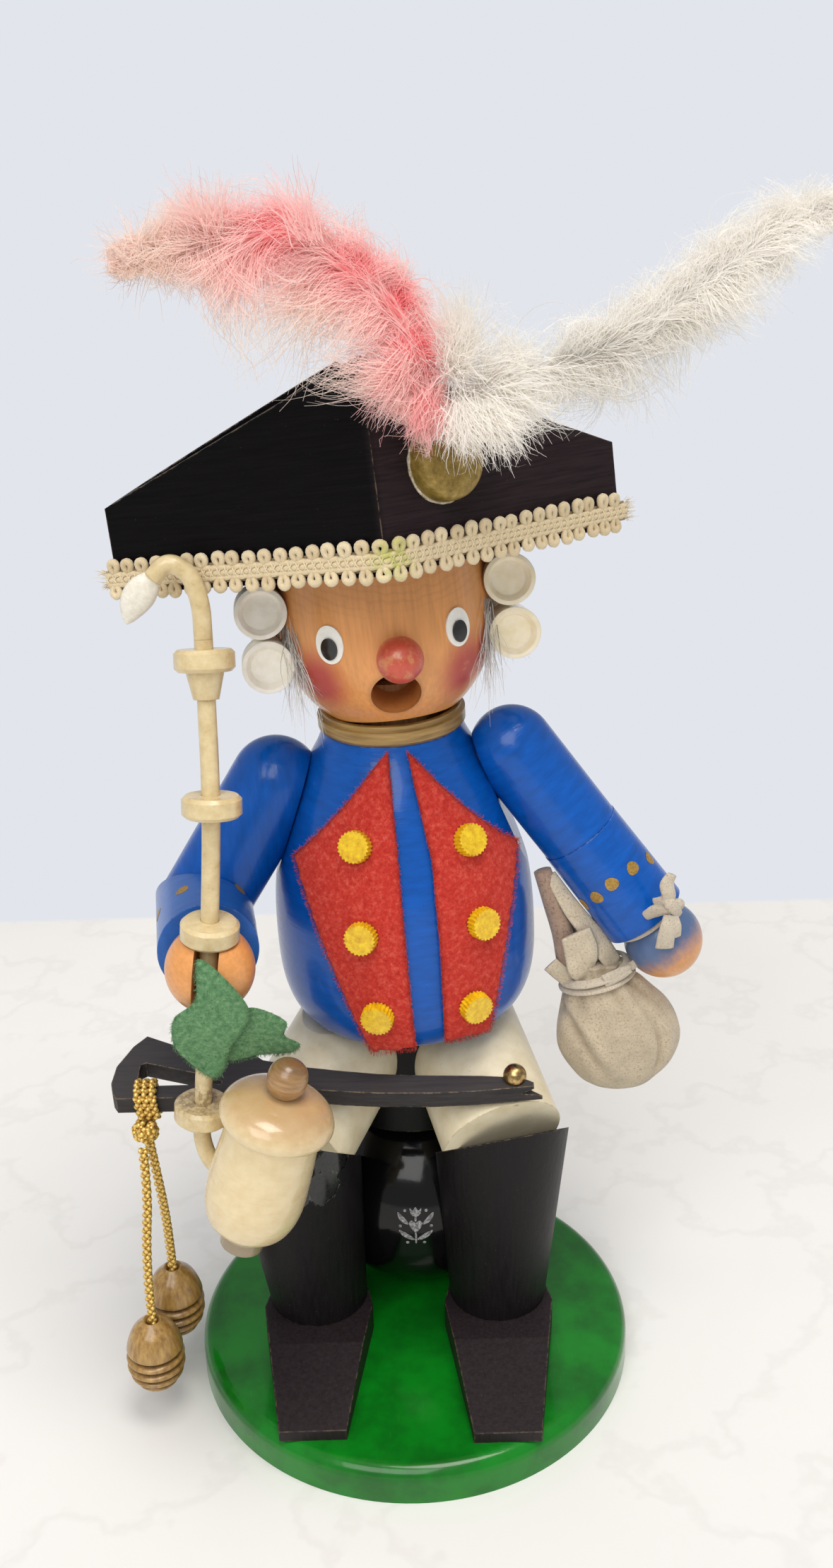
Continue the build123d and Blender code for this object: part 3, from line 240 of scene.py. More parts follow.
def across_line(line, closed=False, facing=None):
    """Two directions square to a line at each of its points, the first near facing."""
    if closed:
        along = np.roll(line, -1, 0) - np.roll(line, 1, 0)
        along /= np.linalg.norm(along, axis=1)[:, None]
    else:
        along = headings_of(line)
    first = np.array(facing if facing is not None else (0.31, 0.52, 0.79), float)
    firsts, seconds = [], []
    for direction in along:
        side = first - direction * np.dot(first, direction)
        side -= direction * np.dot(side, direction)
        side /= np.linalg.norm(side)
        if facing is None:
            first = side
        firsts.append(side)
        seconds.append(np.cross(direction, side))
    return np.array(firsts), np.array(seconds)


def rope(form, line, radius, sides=8, closed=False, flat=None, facing=None, tone=0.5):
    """Sweep a round or flattened section along a line. flat is the second half-width."""
    line = np.asarray(line, float)
    firsts, seconds = across_line(line, closed, facing)
    radii = np.broadcast_to(np.asarray(radius, float), (len(line),))
    flats = radii if flat is None else np.broadcast_to(np.asarray(flat, float), (len(line),))
    points = []
    for place, a, b, wide, thin in zip(line, firsts, seconds, radii, flats):
        for step in range(sides):
            angle = 2 * math.pi * step / sides
            points.append(place + a * (thin * math.sin(angle)) + b * (wide * math.cos(angle)))
    form.add(points, ring_faces(len(line), sides, closed, not closed), tone)


def strands(form, paths, widths, tones, facing):
    """Flat hairs: paths is hairs by points by 3, widths and tones are hairs by points."""
    paths = np.asarray(paths, float)
    count, length = paths.shape[:2]
    along = np.gradient(paths, axis=1)
    side = np.cross(along, facing[:, None, :])
    side /= np.maximum(np.linalg.norm(side, axis=2), 1e-9)[:, :, None]
    half = side * (widths[:, :, None] / 2)
    points = np.stack([paths - half, paths + half], 2).reshape(-1, 3)
    index = np.arange(count * length * 2).reshape(count, length, 2)
    quads = np.stack([index[:, :-1, 0], index[:, 1:, 0], index[:, 1:, 1], index[:, :-1, 1]], -1).reshape(-1, 4)
    start = len(form.points)
    form.points.extend(points.tolist())
    form.faces.extend((quads + start).tolist())
    form.tones.extend(np.repeat(tones.reshape(-1), 2).tolist())


def inside(outline, places):
    """Which places lie inside a closed outline."""
    x, y = places[:, 0], places[:, 1]
    found = np.zeros(len(places), bool)
    for (ax, ay), (bx, by) in zip(outline, np.roll(outline, -1, 0)):
        crosses = (ay > y) != (by > y)
        with np.errstate(divide="ignore", invalid="ignore"):
            found ^= crosses & (x < (bx - ax) * (y - ay) / (by - ay) + ax)
    return found


def edge_distance(outline, places):
    """How far each place is from a closed outline."""
    nearest = np.full(len(places), 1e9)
    for a, b in zip(outline, np.roll(outline, -1, 0)):
        run = b - a
        share = np.clip(((places - a) @ run) / max(run @ run, 1e-12), 0, 1)
        nearest = np.minimum(nearest, np.linalg.norm(places - a - share[:, None] * run, axis=1))
    return nearest


def even_outline(outline, step):
    """The outline with a point every step or so, its corners kept."""
    made = []
    for a, b in zip(outline, np.roll(outline, -1, 0)):
        parts = max(1, round(float(np.linalg.norm(b - a)) / step))
        made.extend(a + (b - a) * part / parts for part in range(parts))
    return np.array(made)


def filled(outline, step):
    """A flat net of triangles inside an outline: points, faces and distance from the edge."""
    outline = np.array([tuple(point) for point in outline], float)
    rim = even_outline(outline, step)
    low, high = rim.min(0), rim.max(0)
    rows = []
    for row, y in enumerate(np.arange(low[1], high[1], step * 0.87)):
        xs = np.arange(low[0] + (row % 2) * step / 2, high[0], step)
        rows.append(np.stack([xs, np.full(len(xs), y)], 1))
    grid = np.vstack(rows)
    grid = grid[inside(rim, grid)]
    grid = grid[edge_distance(rim, grid) > step * 0.55]
    edges = [(i, (i + 1) % len(rim)) for i in range(len(rim))]
    everything = [Vector(point) for point in np.vstack([rim, grid])]
    points, _, faces, *_ = geometry.delaunay_2d_cdt(everything, edges, [], 1, 1e-6)
    points = np.array([tuple(point) for point in points])
    return points, [tuple(face) for face in faces], edge_distance(rim, points)


def felt_sheet(form, outline, step, place, thickness, rounding):
    """A soft sheet with rounded edges. place turns flat points and a height into points in space."""
    points, faces, depth = filled(outline, step)
    first, second, third = points[list(faces[0])]
    if np.cross(second - first, third - first) < 0:
        faces = [tuple(reversed(face)) for face in faces]
    rise = np.sqrt(1 - (1 - np.clip(depth / rounding, 0, 1)) ** 2)
    front = place(points, thickness * (0.5 + 0.5 * rise))
    back = place(points, thickness * (0.5 - 0.5 * rise))
    count = len(points)
    uses = {}
    for face in faces:
        for a, b in zip(face, face[1:] + face[:1]):
            uses[(a, b)] = uses.get((a, b), 0) + 1
    rim = [(a, b) for a, b in uses if (b, a) not in uses]
    sides = [(a, a + count, b + count, b) for a, b in rim]
    behind = [tuple(index + count for index in reversed(face)) for face in faces]
    form.add(np.vstack([front, back]), faces + behind + sides)


def turned(form, placing, profile, sides):
    """Turn a profile of (radius, height) points about a frame's z."""
    points = []
    for radius, height in profile:
        for step in range(sides):
            angle = 2 * math.pi * step / sides
            points.append(placing @ Vector((radius * math.cos(angle), radius * math.sin(angle), height)))
    form.add(points, ring_faces(len(profile), sides))


def spread(values, low, high):
    """Values as a share of the way from low to high, kept between 0 and 1."""
    return np.clip((values - low) / (high - low), 0, 1)


# Material helpers

class Finish:
    """A material being made: fixed shader values, and short calls for its nodes. Lengths are in millimetres."""

    def __init__(self, name, base, **values):
        self.material = bpy.data.materials.new(name)
        self.material.use_nodes = True
        self.material.diffuse_color = (*base, 1)
        self.tree = self.material.node_tree
        self.shader = self.tree.nodes["Principled BSDF"]
        self.shader.inputs["Base Color"].default_value = (*base, 1)
        for socket, value in values.items():
            self.shader.inputs[socket.replace("_", " ")].default_value = value
        coordinates = self.tree.nodes.new("ShaderNodeTexCoord").outputs["Object"]
        self.position = self.node("VectorMath", 0, (0, coordinates), (3, 1 / MILLIMETRE), operation="SCALE")
        self.height = None

    def node(self, kind, output, *links, **settings):
        node = self.tree.nodes.new("ShaderNode" + kind)
        for key, value in settings.items():
            setattr(node, key, value)
        for socket, value in links:
            if isinstance(value, bpy.types.NodeSocket):
                self.tree.links.new(value, node.inputs[socket])
            else:
                node.inputs[socket].default_value = value
        return node.outputs[output]

    def local(self, placing, stretch=(1, 1, 1)):
        """The position in a frame of the piece, stretched."""
        turned_back = self.node(
            "Mapping", 0, (0, self.position), (1, placing.to_translation()), (2, placing.to_euler()),
            vector_type="TEXTURE",
        )
        return self.node("Mapping", 0, (0, turned_back), (3, stretch))

    def stretched(self, stretch):
        return self.node("Mapping", 0, (0, self.position), (3, stretch))

    def noise(self, grain, detail=3.0, rough=0.55, where=None, shift=0.0):
        """Noise with features of about grain millimetres."""
        source = where or self.position
        return self.node(
            "TexNoise", 0, ("Vector", source), ("Scale", 1 / grain), ("Detail", detail), ("Roughness", rough),
            ("W", shift), noise_dimensions="4D",
        )

    def calc(self, operation, first, second=0.0):
        return self.node("Math", 0, (0, first), (1, second), operation=operation)

    def fade(self, value, low, high):
        """0 below low, 1 above high, and smooth between."""
        return self.node("MapRange", 0, (0, value), (1, low), (2, high), interpolation_type="SMOOTHSTEP")

    def spots(self, low, high, grain, detail, rough=0.55, **where):
        """Noise as patches: 0 below low and 1 above high."""
        return self.fade(self.noise(grain, detail, rough, **where), low, high)

    def near(self, point, low, high):
        """1 within low millimetres of a point, 0 beyond high."""
        away = self.node("VectorMath", 1, (0, self.position), (1, point), operation="DISTANCE")
        return self.fade(away, high, low)

    def part(self, vector, axis):
        return self.node("SeparateXYZ", axis, (0, vector))

    def tone(self):
        return self.node("Attribute", "Fac", attribute_name="tone")

    def ramp(self, value, *stops):
        node = self.tree.nodes.new("ShaderNodeValToRGB")
        self.tree.links.new(value, node.inputs[0])
        elements = node.color_ramp.elements
        while len(elements) < len(stops):
            elements.new(0.5)
        for element, (place, shade) in zip(elements, stops):
            element.position, element.color = place, (*shade, 1)
        return node.outputs[0]

    def mix(self, share, first, second):
        node = self.tree.nodes.new("ShaderNodeMix")
        node.data_type = "RGBA"
        for socket, value in ((0, share), (6, first), (7, second)):
            if isinstance(value, bpy.types.NodeSocket):
                self.tree.links.new(value, node.inputs[socket])
            else:
                node.inputs[socket].default_value = value if socket == 0 else (*value, 1)
        return node.outputs[2]

    def glaze(self, mask, share, under, over):
        """One colour laid over another where the mask is, at most by the share."""
        return self.mix(self.calc("MULTIPLY", mask, share), under, over)

    def rubbed(self, radius, patches, low, high):
        """Sharp edges, where the patches leave them bare."""
        return self.calc("MULTIPLY", self.edges(radius), self.fade(patches, low, high))

    def paint(self, shade):
        self.tree.links.new(shade, self.shader.inputs["Base Color"])
        return self

    def dull(self, value, low, high):
        """Roughness from low to high as value goes from 0 to 1."""
        self.tree.links.new(self.node("MapRange", 0, (0, value), (3, low), (4, high)), self.shader.inputs["Roughness"])
        return self

    def relief(self, value, depth):
        """Bumps of the given depth, added to the earlier ones."""
        links = [("Height", value), ("Distance", depth * MILLIMETRE)]
        if self.height is not None:
            links.append(("Normal", self.height))
        self.height = self.node("Bump", 0, *links)
        self.tree.links.new(self.height, self.shader.inputs["Normal"])
        return self

    def soften(self, radius):
        """Edges that look rounded to this radius."""
        self.height = self.node("Bevel", 0, ("Radius", radius * MILLIMETRE), samples=6)
        self.tree.links.new(self.height, self.shader.inputs["Normal"])
        return self

    def edges(self, radius):
        """1 along sharp edges, worked out from rounded ones."""
        rounded = self.node("Bevel", 0, ("Radius", radius * MILLIMETRE), samples=6)
        plain = self.node("NewGeometry", "Normal")
        same = self.node("VectorMath", 1, (0, rounded), (1, plain), operation="DOT_PRODUCT")
        return self.fade(self.calc("SUBTRACT", 1.0, same), 0.02, 0.2)


def wear(material, *names):
    """Give carried-over CAD pieces their material."""
    for name in names:
        nodes[name].material_slots[0].link = "DATA"
        nodes[name].data.materials.clear()
        nodes[name].data.materials.append(material)


# Sizes and colours

class PaintColours(bpy.types.PropertyGroup):
    """Colours of the painted and stained wood."""

    base: colour("Base", "Glossy green of the round base", 10, 124, 26)
    black: colour("Black", "Black of the seat ball", 9, 9, 10)
    boot: colour("Boots", "Worn satin black of the boots and shoes", 24, 21, 23)
    cream: colour("Cream", "Cream of the thighs and the pipe", 222, 202, 156)
    coat: colour("Coat", "Glossy blue of the coat", 6, 86, 178)
    cuff: colour("Cuff", "Slightly thinner blue of the forearms", 40, 98, 180)
    button: colour("Buttons", "Yellow of the toothed buttons", 240, 198, 16)
    gold: colour("Gold", "Dull gold of the dots and the cockade", 150, 126, 62)
    sabre: colour("Sabre", "Charcoal of the sabre", 42, 39, 41)
    skin: colour("Skin", "Stained wood of the head and hands", 230, 158, 90)
    blush: colour("Blush", "Red of the cheeks and nose", 174, 34, 30)
    collar: colour("Collar", "Olive-gold stain of the collar", 160, 126, 62)
    hat: colour("Hat", "Black of the hat", 9, 8, 9)
    eye: colour("Eye white", "White of the eyes and curls", 240, 238, 228)


class FeatherSizes(bpy.types.PropertyGroup):
    """Sizes and colours of the two down feathers."""

    barbs: IntProperty(name="Barbs", description="Barbs on each feather", default=9000, min=200, max=12000)
    width: size("Barb width", "Width of a barb at its root", 0.23, 0.05, 1)
    body: size("Body", "How far the barbs spread in front and behind", 5.5, 1, 12)
    hot: colour("Hot pink", "Dye in the core of the pink feather", 254, 132, 142)
    pale: colour("Pale pink", "Middle of the pink feather", 255, 226, 222)
    beige: colour("Beige", "Undyed tips", 250, 238, 226)
    white: colour("White", "Light down of the white feather", 254, 252, 248)
    grey: colour("Grey", "Shaded down of the white feather", 236, 232, 224)


class TrimSizes(bpy.types.PropertyGroup):
    """Sizes and colours of the braid, the fur and the felt."""

    braid_pitch: size("Braid pitch", "Distance from loop to loop", 3.85, 2, 8)
    braid_loop: size("Braid loop", "Height of a loop beyond the cords", 2.5, 1, 5)
    braid: colour("Braid", "Cream of the gimp braid", 226, 206, 168)
    fur_length: size("Fur length", "Length of the hairs of the wig", 9.0, 2, 20)
    fur_hairs: IntProperty(name="Fur hairs", description="Hairs of the wig", default=6500, min=200, max=20000)
    fur: colour("Fur", "Grey-white of the wig", 205, 202, 196)
    felt: size("Felt", "Thickness of the lapel felt", 1.8, 0.5, 4)
    red: colour("Red felt", "Red of the lapels", 200, 60, 50)
    green: colour("Green felt", "Green of the leaves", 102, 148, 104)


class LeatherSizes(bpy.types.PropertyGroup):
    """Sizes and colours of the purse and the cords."""

    pouch: colour("Purse", "Soft beige leather of the purse", 205, 190, 164)
    frill: colour("Frill", "Pinkish flesh side of the rolled leather", 176, 150, 130)
    thong: colour("Thong", "Pale leather lace", 214, 202, 182)
    tie_width: size("Tie width", "Width of one turn of the tie", 2.4, 1, 5)
    cord: colour("Cord", "Gold of the twisted cords", 226, 182, 74)
    cord_width: size("Cord width", "Width of a twisted cord", 2.4, 1, 4)
    bead: colour("Beads", "Varnished wood of the beads", 178, 136, 70)


class StageSizes(bpy.types.PropertyGroup):
    """Camera and studio."""

    lens: FloatProperty(
        name="Lens", description="Focal length of the camera in millimetres", default=35.676, min=10, max=200
    )
    pitch: FloatProperty(
        name="Pitch", description="How far the camera looks down", subtype="ANGLE", default=math.radians(22.95)
    )
    roll: FloatProperty(
        name="Roll", description="How far the camera is turned about its view", subtype="ANGLE",
        default=math.radians(-1.59),
    )
    place: FloatVectorProperty(
        name="Camera", description="Where the camera stands", subtype="TRANSLATION", unit="LENGTH",
        default=(0.00454, -0.3368, 0.3079),
    )
    floor: colour("Floor", "Pale floor", 236, 235, 233)
    wall: colour("Backdrop", "Pale backdrop", 226, 229, 236)


# Base and seat

def ornament(form):
    """A small folk sprig, printed pale on the front of the seat ball: a heart, a tulip and leaves."""
    middle_turn, middle_rise = math.radians(-1.8), math.radians(8.0)

    def place(points, height):
        made = []
        for (across, up), lift in zip(points, np.broadcast_to(height, (len(points),))):
            turn = middle_turn + across / SEAT_RADIUS / math.cos(middle_rise)
            rise = middle_rise + up / SEAT_RADIUS
            direction = Vector((math.sin(turn) * math.cos(rise), -math.cos(turn) * math.cos(rise), math.sin(rise)))
            made.append(SEAT_MIDDLE + direction * (SEAT_RADIUS + 0.02 + lift))
        return made

    shapes = [
        [(0, -1.6), (1.5, 0.1), (1.7, 1.2), (0.95, 1.8), (0, 1.1), (-0.95, 1.8), (-1.7, 1.2), (-1.5, 0.1)],
        [(-0.22, 1.7), (0.22, 1.7), (0.22, 3.2), (-0.22, 3.2)],
        [(0, 2.9), (1.2, 3.5), (1.6, 5.2), (0.75, 4.5), (0, 5.5), (-0.75, 4.5), (-1.6, 5.2), (-1.2, 3.5)],
        [(-0.2, -4.9), (0.2, -4.9), (0.2, -1.7), (-0.2, -1.7)],
    ]
    leaf = [(0.3, -3.9), (1.6, -3.9), (3.4, -2.9), (4.5, -1.2), (3.2, -1.6), (1.5, -2.6)]
    spray = [(1.8, 0.7), (3.1, 0.9), (4.4, 2.1), (4.9, 3.9), (3.7, 3.1), (2.6, 2.0)]
    dots = [(4.1, 0.1), (2.9, 4.5), (2.2, -4.9)]
    for outline in (leaf, spray):
        shapes.append(outline)
        shapes.append([(-x, y) for x, y in outline])
    for x, y in dots:
        for side in (-1, 1):
            shapes.append([(side * x + 0.42 * math.cos(a), y + 0.42 * math.sin(a)) for a in round_turn(8)])
    for outline in shapes:
        points, faces, _ = filled(smooth_line(outline, 28, closed=True), 0.5)
        form.add(place(points, 0.03), faces)


class SMOKER_OT_base(bpy.types.Operator):
    """Paint the round base and the seat ball"""

    bl_idname = "smoker.base"
    bl_label = "Base and Seat"

    def execute(self, context):
        colours = context.scene.smoker_paint
        green = Finish(
            "base_green", colours.base, Roughness=0.2, Coat_Weight=0.35, Coat_Roughness=0.06, Specular_IOR_Level=0.25
        )
        patches = green.noise(14, 4)
        shade = green.mix(green.fade(patches, 0.35, 0.7), colours.base, tint(9, 92, 20))
        dust = green.spots(0.69, 0.75, 0.5, 2, 0.7)
        scratch = green.spots(0.68, 0.72, 0.35, 2, 0.6, where=green.stretched((1, 0.06, 1)))
        shade = green.glaze(dust, 0.3, shade, tint(120, 170, 110))
        green.paint(green.glaze(scratch, 0.12, shade, tint(90, 160, 90)))
        green.dull(patches, 0.14, 0.3).relief(green.noise(7, 3), 0.12).relief(green.noise(0.8, 2), 0.012)
        wear(green.material, "base_disc")

        black = Finish(
            "seat_black", colours.black, Roughness=0.12, Coat_Weight=0.2, Coat_Roughness=0.05, Specular_IOR_Level=0.22
        )
        specks = black.spots(0.7, 0.76, 0.45, 2, 0.7)
        black.paint(black.glaze(specks, 0.25, colours.black, tint(90, 88, 86)))
        black.dull(black.noise(6, 3), 0.07, 0.2).relief(black.noise(5, 3), 0.08)
        wear(black.material, "seat_ball")
        # The hip block is painted black like the seat. In the gap between the thighs this black also stands in for
        # shade, so it is partly painted shade
        wear(worn_black("hip_black_and_gap_shade", tint(14, 13, 14)), "hip_block")

        print_grey = Finish("ornament_grey", tint(150, 148, 150), Roughness=0.4)
        faint = print_grey.spots(0.4, 0.62, 0.6, 3, 0.7)
        print_grey.paint(print_grey.mix(faint, tint(98, 96, 99), tint(176, 174, 176)))
        sprig = Form()
        ornament(sprig)
        make("seat_ornament", sprig, print_grey.material, "lower_body")

        bare = Finish("bare_wood", tint(205, 168, 118), Roughness=0.6)
        grain = bare.noise(1.1, 4, 0.6, bare.stretched((1, 1, 0.08)))
        bare.paint(bare.ramp(grain, (0.3, tint(182, 140, 92)), (0.7, tint(216, 182, 134)))).relief(grain, 0.05)
        wear(bare.material, "neck_tube", "lower_dowels", "arm_dowels")
        brass = Finish("dish_brass", tint(196, 160, 92), Roughness=0.32, Metallic=1.0)
        soot = brass.spots(0.45, 0.7, 3, 4, 0.7)
        brass.paint(brass.mix(soot, tint(200, 164, 96), tint(92, 70, 44))).dull(soot, 0.25, 0.6)
        wear(brass.material, "incense_plate")
        return {"FINISHED"}


# Legs

def worn_black(name, base, chips=()):
    """Satin black paint on wood, thin on its edges and dusty, with glossy chips near the given points."""
    black = Finish(name, base, Roughness=0.42, Specular_IOR_Level=0.2, Coat_Roughness=0.12)
    grain = black.noise(0.9, 4, 0.6, black.stretched((1, 1, 0.09)))
    shade = black.ramp(grain, (0.3, shaded(base, 0.62)), (0.72, shaded(base, 1.2)))
    rubbed = black.rubbed(0.7, black.noise(1.6, 4, 0.7), 0.42, 0.62)
    shade = black.glaze(rubbed, 0.55, shade, tint(150, 128, 100))
    dust = black.spots(0.68, 0.74, 0.4, 2, 0.75)
    shade = black.glaze(dust, 0.3, shade, tint(150, 146, 140))
    crust = None
    for point, reach in chips:
        ragged = black.calc("ADD", black.near(point, 0, reach), black.calc("MULTIPLY", black.noise(3.2, 4, 0.6), 0.9))
        patch = black.fade(ragged, 0.76, 0.82)
        shade = black.mix(patch, shade, tint(10, 10, 11))
        torn = black.calc("MULTIPLY", black.fade(ragged, 0.7, 0.76), black.fade(ragged, 0.86, 0.78))
        torn = black.calc("MULTIPLY", torn, black.spots(0.5, 0.56, 1.1, 3, 0.8, shift=3.0))
        shade = black.glaze(torn, 0.5, shade, tint(150, 148, 146))
        crust = patch if crust is None else black.calc("MAXIMUM", crust, patch)
    black.paint(shade)
    black.soften(0.5).dull(grain, 0.34, 0.58).relief(grain, 0.06).relief(black.noise(3.5, 3), 0.1)
    if crust is not None:
        black.relief(crust, 0.5).relief(black.calc("MULTIPLY", crust, black.noise(1.6, 3)), 0.6)
        black.tree.links.new(crust, black.shader.inputs["Coat Weight"])
    return black.material


class SMOKER_OT_legs(bpy.types.Operator):
    """Paint the shoes, boots and thighs"""

    bl_idname = "smoker.legs"
    bl_label = "Legs"

    def execute(self, context):
        colours = context.scene.smoker_paint
        chips = (((-17, -19, 70.5), 10), ((-21, -19, 64), 8), ((-28, -18, 61), 5))
        wear(worn_black("right_boot_black", colours.boot, chips), "right_boot")
        wear(worn_black("left_boot_black", colours.boot), "left_boot")
        shoe = worn_black("shoe_black", tint(40, 33, 36))
        wear(shoe, "right_shoe", "left_shoe")
        cream = Finish("thigh_cream", tint(234, 222, 192), Roughness=0.38, Coat_Weight=0.2, Coat_Roughness=0.2)
        patches = cream.noise(6, 4, 0.6)
        shade = cream.ramp(patches, (0.3, tint(222, 208, 172)), (0.7, tint(242, 232, 204)))
        specks = cream.spots(0.66, 0.7, 0.55, 3, 0.75)
        shade = cream.glaze(specks, 0.6, shade, tint(96, 78, 58))
        rubbed = cream.rubbed(0.8, cream.noise(1.8, 3), 0.4, 0.6)
        cream.paint(cream.glaze(rubbed, 0.5, shade, tint(150, 122, 84)))
        cream.soften(0.5).dull(patches, 0.3, 0.5).relief(cream.noise(1.4, 3, 0.6, cream.stretched((1, 0.3, 1))), 0.05)
        wear(cream.material, "right_thigh", "left_thigh")
        return {"FINISHED"}


# Sabre

class SMOKER_OT_sabre(bpy.types.Operator):
    """Paint the sabre and its brass nail"""

    bl_idname = "smoker.sabre"
    bl_label = "Sabre"

    def execute(self, context):
        grey = Finish("sabre_charcoal", context.scene.smoker_paint.sabre, Roughness=0.62, Specular_IOR_Level=0.35)
        grain = grey.noise(0.8, 4, 0.65, grey.stretched((0.07, 1, 1)))
        shade = grey.ramp(grain, (0.3, tint(28, 26, 27)), (0.7, tint(58, 54, 55)))
        # Painted light: faces that point up are painted a lighter grey, as if lit from above
        facing = grey.part(grey.node("NewGeometry", "Normal"), 2)
        shade = grey.glaze(grey.fade(facing, 0.3, 0.9), 0.35, shade, tint(78, 74, 75))
        rubbed = grey.rubbed(0.6, grey.noise(1.5, 4, 0.7), 0.4, 0.6)
        grey.paint(grey.glaze(rubbed, 0.7, shade, tint(172, 150, 118)))
        grey.soften(0.45).dull(grain, 0.5, 0.75).relief(grain, 0.09)
        wear(grey.material, "sabre")
        brass = Finish("nail_brass", tint(196, 164, 104), Roughness=0.24, Metallic=1.0)
        tarnish = brass.noise(1.2, 3, 0.6)
        shade = brass.ramp(tarnish, (0.35, tint(120, 96, 58)), (0.65, tint(214, 184, 128)))
        brass.paint(shade).dull(tarnish, 0.2, 0.42)
        wear(brass.material, "sabre_nail")
        return {"FINISHED"}


# Coat, collar and arms

def brushed_blue(name, base, placing):
    """Glossy blue paint over turning marks that run round a piece's own axis."""
    blue = Finish(name, base, Roughness=0.3, Coat_Weight=0.22, Coat_Roughness=0.1, Specular_IOR_Level=0.25)
    rings = blue.noise(0.55, 3, 0.65, blue.local(placing, (0.05, 0.05, 1)))
    streaks = blue.noise(1.6, 4, 0.6, blue.local(placing, (0.25, 0.25, 1)))
    shade = blue.ramp(streaks, (0.28, shaded(base, 0.78)), (0.72, shaded(base, 1.14)))
    thin = blue.rubbed(0.6, blue.noise(1.5, 3), 0.5, 0.64)
    shade = blue.glaze(thin, 0.5, shade, tint(150, 160, 176))
    specks = blue.spots(0.71, 0.76, 0.5, 2, 0.75)
    blue.paint(blue.glaze(specks, 0.25, shade, tint(190, 200, 215)))
    blue.soften(0.5).dull(streaks, 0.16, 0.32).relief(rings, 0.07).relief(blue.noise(2.5, 3), 0.06)
    return blue.material


# Dots on the cuffs: millimetres along the arm, and degrees round it
LEFT_DOTS = (
    (14.8, -164.2), (12.4, -126.8), (12.0, -91.3), (13.1, -61.9), (14.2, -28), (12.8, 22), (13.4, 68), (12.6, 112),
    (14, 156),
)
RIGHT_DOTS = ((-11.5, -65.8), (-15.2, -138.5), (-12.2, 178), (-13.5, -20), (-12.6, 32), (-14.2, 96))


def gold_dot(form, placing, along, angle, radius, reach):
    """A round dab of paint on a cylinder about a frame's z."""
    ring, sides = [], 20
    for turn in round_turn(sides):
        wobble = radius * (1 + 0.06 * math.sin(3 * turn + along))
        bend = angle + wobble * math.cos(turn) / reach
        ring.append(placing @ Vector((reach * math.cos(bend), reach * math.sin(bend), along + wobble * math.sin(turn))))
    top = placing @ Vector(((reach + 0.06) * math.cos(angle), (reach + 0.06) * math.sin(angle), along))
    form.add([*ring, top], [(step, (step + 1) % sides, sides) for step in range(sides)])


class SMOKER_OT_coat(bpy.types.Operator):
    """Paint the coat, the collar, the arms and hands, with the gold dots on the cuffs"""

    bl_idname = "smoker.coat"
    bl_label = "Coat and Arms"

    def execute(self, context):
        colours = context.scene.smoker_paint
        wear(brushed_blue("coat_blue", colours.coat, coat_frame), "coat_torso")
        upper_right = frame_of((-29.7, 13, 162), (0, 0, 1), (-0.532, -0.196, -0.824))
        wear(brushed_blue("right_sleeve_blue", colours.coat, upper_right), "right_upper_arm")
        wear(brushed_blue("left_sleeve_blue", colours.coat, left_arm), "left_upper_arm")
        wear(brushed_blue("left_cuff_blue", colours.coat, left_arm), "left_forearm")
        wear(brushed_blue("right_cuff_blue", colours.cuff, right_arm), "right_forearm")

        collar = Finish("collar_stain", colours.collar, Roughness=0.35, Coat_Weight=0.3, Coat_Roughness=0.2)
        rings = collar.noise(0.7, 3, 0.6, collar.local(coat_frame, (0.06, 0.06, 1)))
        collar.paint(collar.ramp(rings, (0.3, tint(122, 92, 42)), (0.7, tint(182, 148, 82))))
        collar.soften(0.4).dull(rings, 0.28, 0.5).relief(rings, 0.05)
        wear(collar.material, "collar")

        right_hand = stained_wood("right_hand_stain", colours.skin, right_arm)
        wear(right_hand.material, "right_hand")
        left_hand = stained_wood("left_hand_stain", tint(222, 154, 88), left_wrist)
        blue_edge = left_hand.part(left_hand.local(left_wrist), 2)
        blue_edge = left_hand.calc("ADD", blue_edge, left_hand.calc("MULTIPLY", left_hand.noise(2.2, 4, 0.65), 5))
        stain = left_hand.calc("MULTIPLY", left_hand.fade(blue_edge, 17, 9), 0.94)
        shade = left_hand.mix(stain, left_hand.last, tint(54, 100, 148))
        left_hand.paint(shade)
        wear(left_hand.material, "left_hand")

        dull_gold = Finish("dot_gold", colours.gold, Roughness=0.45, Metallic=0.35)
        speckle = dull_gold.noise(0.5, 3, 0.7)
        dull_gold.paint(dull_gold.ramp(speckle, (0.35, tint(140, 108, 48)), (0.65, tint(196, 156, 76))))
        dots = Form()
        for arm, reach, places in ((left_arm, 10.62, LEFT_DOTS), (right_arm, 11.79, RIGHT_DOTS)):
            for along, angle in places:
                gold_dot(dots, arm, along, math.radians(angle), 1.7, reach)
        make("cuff_dots", dots, dull_gold.material, "upper_body")
        return {"FINISHED"}


def stained_wood(name, base, placing):
    """Stained wood with a grain along a frame's z. The last colour stays at hand for more paint."""
    wood = Finish(name, base, Roughness=0.34, Coat_Weight=0.35, Coat_Roughness=0.16)
    grain = wood.noise(0.85, 4, 0.62, wood.local(placing, (1, 1, 0.07)))
    broad = wood.noise(5.5, 3, 0.5, wood.local(placing, (1, 1, 0.22)))
    wood.last = wood.ramp(grain, (0.28, shaded(base, 0.84)), (0.7, shaded(base, 1.1)))
    wood.last = wood.glaze(wood.fade(broad, 0.4, 0.7), 0.35, wood.last, shaded(base, 0.72))
    wood.paint(wood.last)
    wood.soften(0.35).dull(grain, 0.26, 0.46).relief(grain, 0.05)
    return wood


# Felt lapels and buttons

def coat_radius_at(height):
    """The coat's radius at a height above the lap, in millimetres."""
    shares = ((0.63, 0.0), (0.875, 0.042), (0.97, 0.131), (1.0, 0.261), (0.991, 0.418),
              (0.942, 0.562), (0.859, 0.68), (0.693, 0.863), (0.564, 0.954), (0.521, 1.0))
    line = smooth_line(scaled(shares, COAT_RADIUS, COAT_HEIGHT), 120)
    return np.interp(height, line[:, 1], line[:, 0])


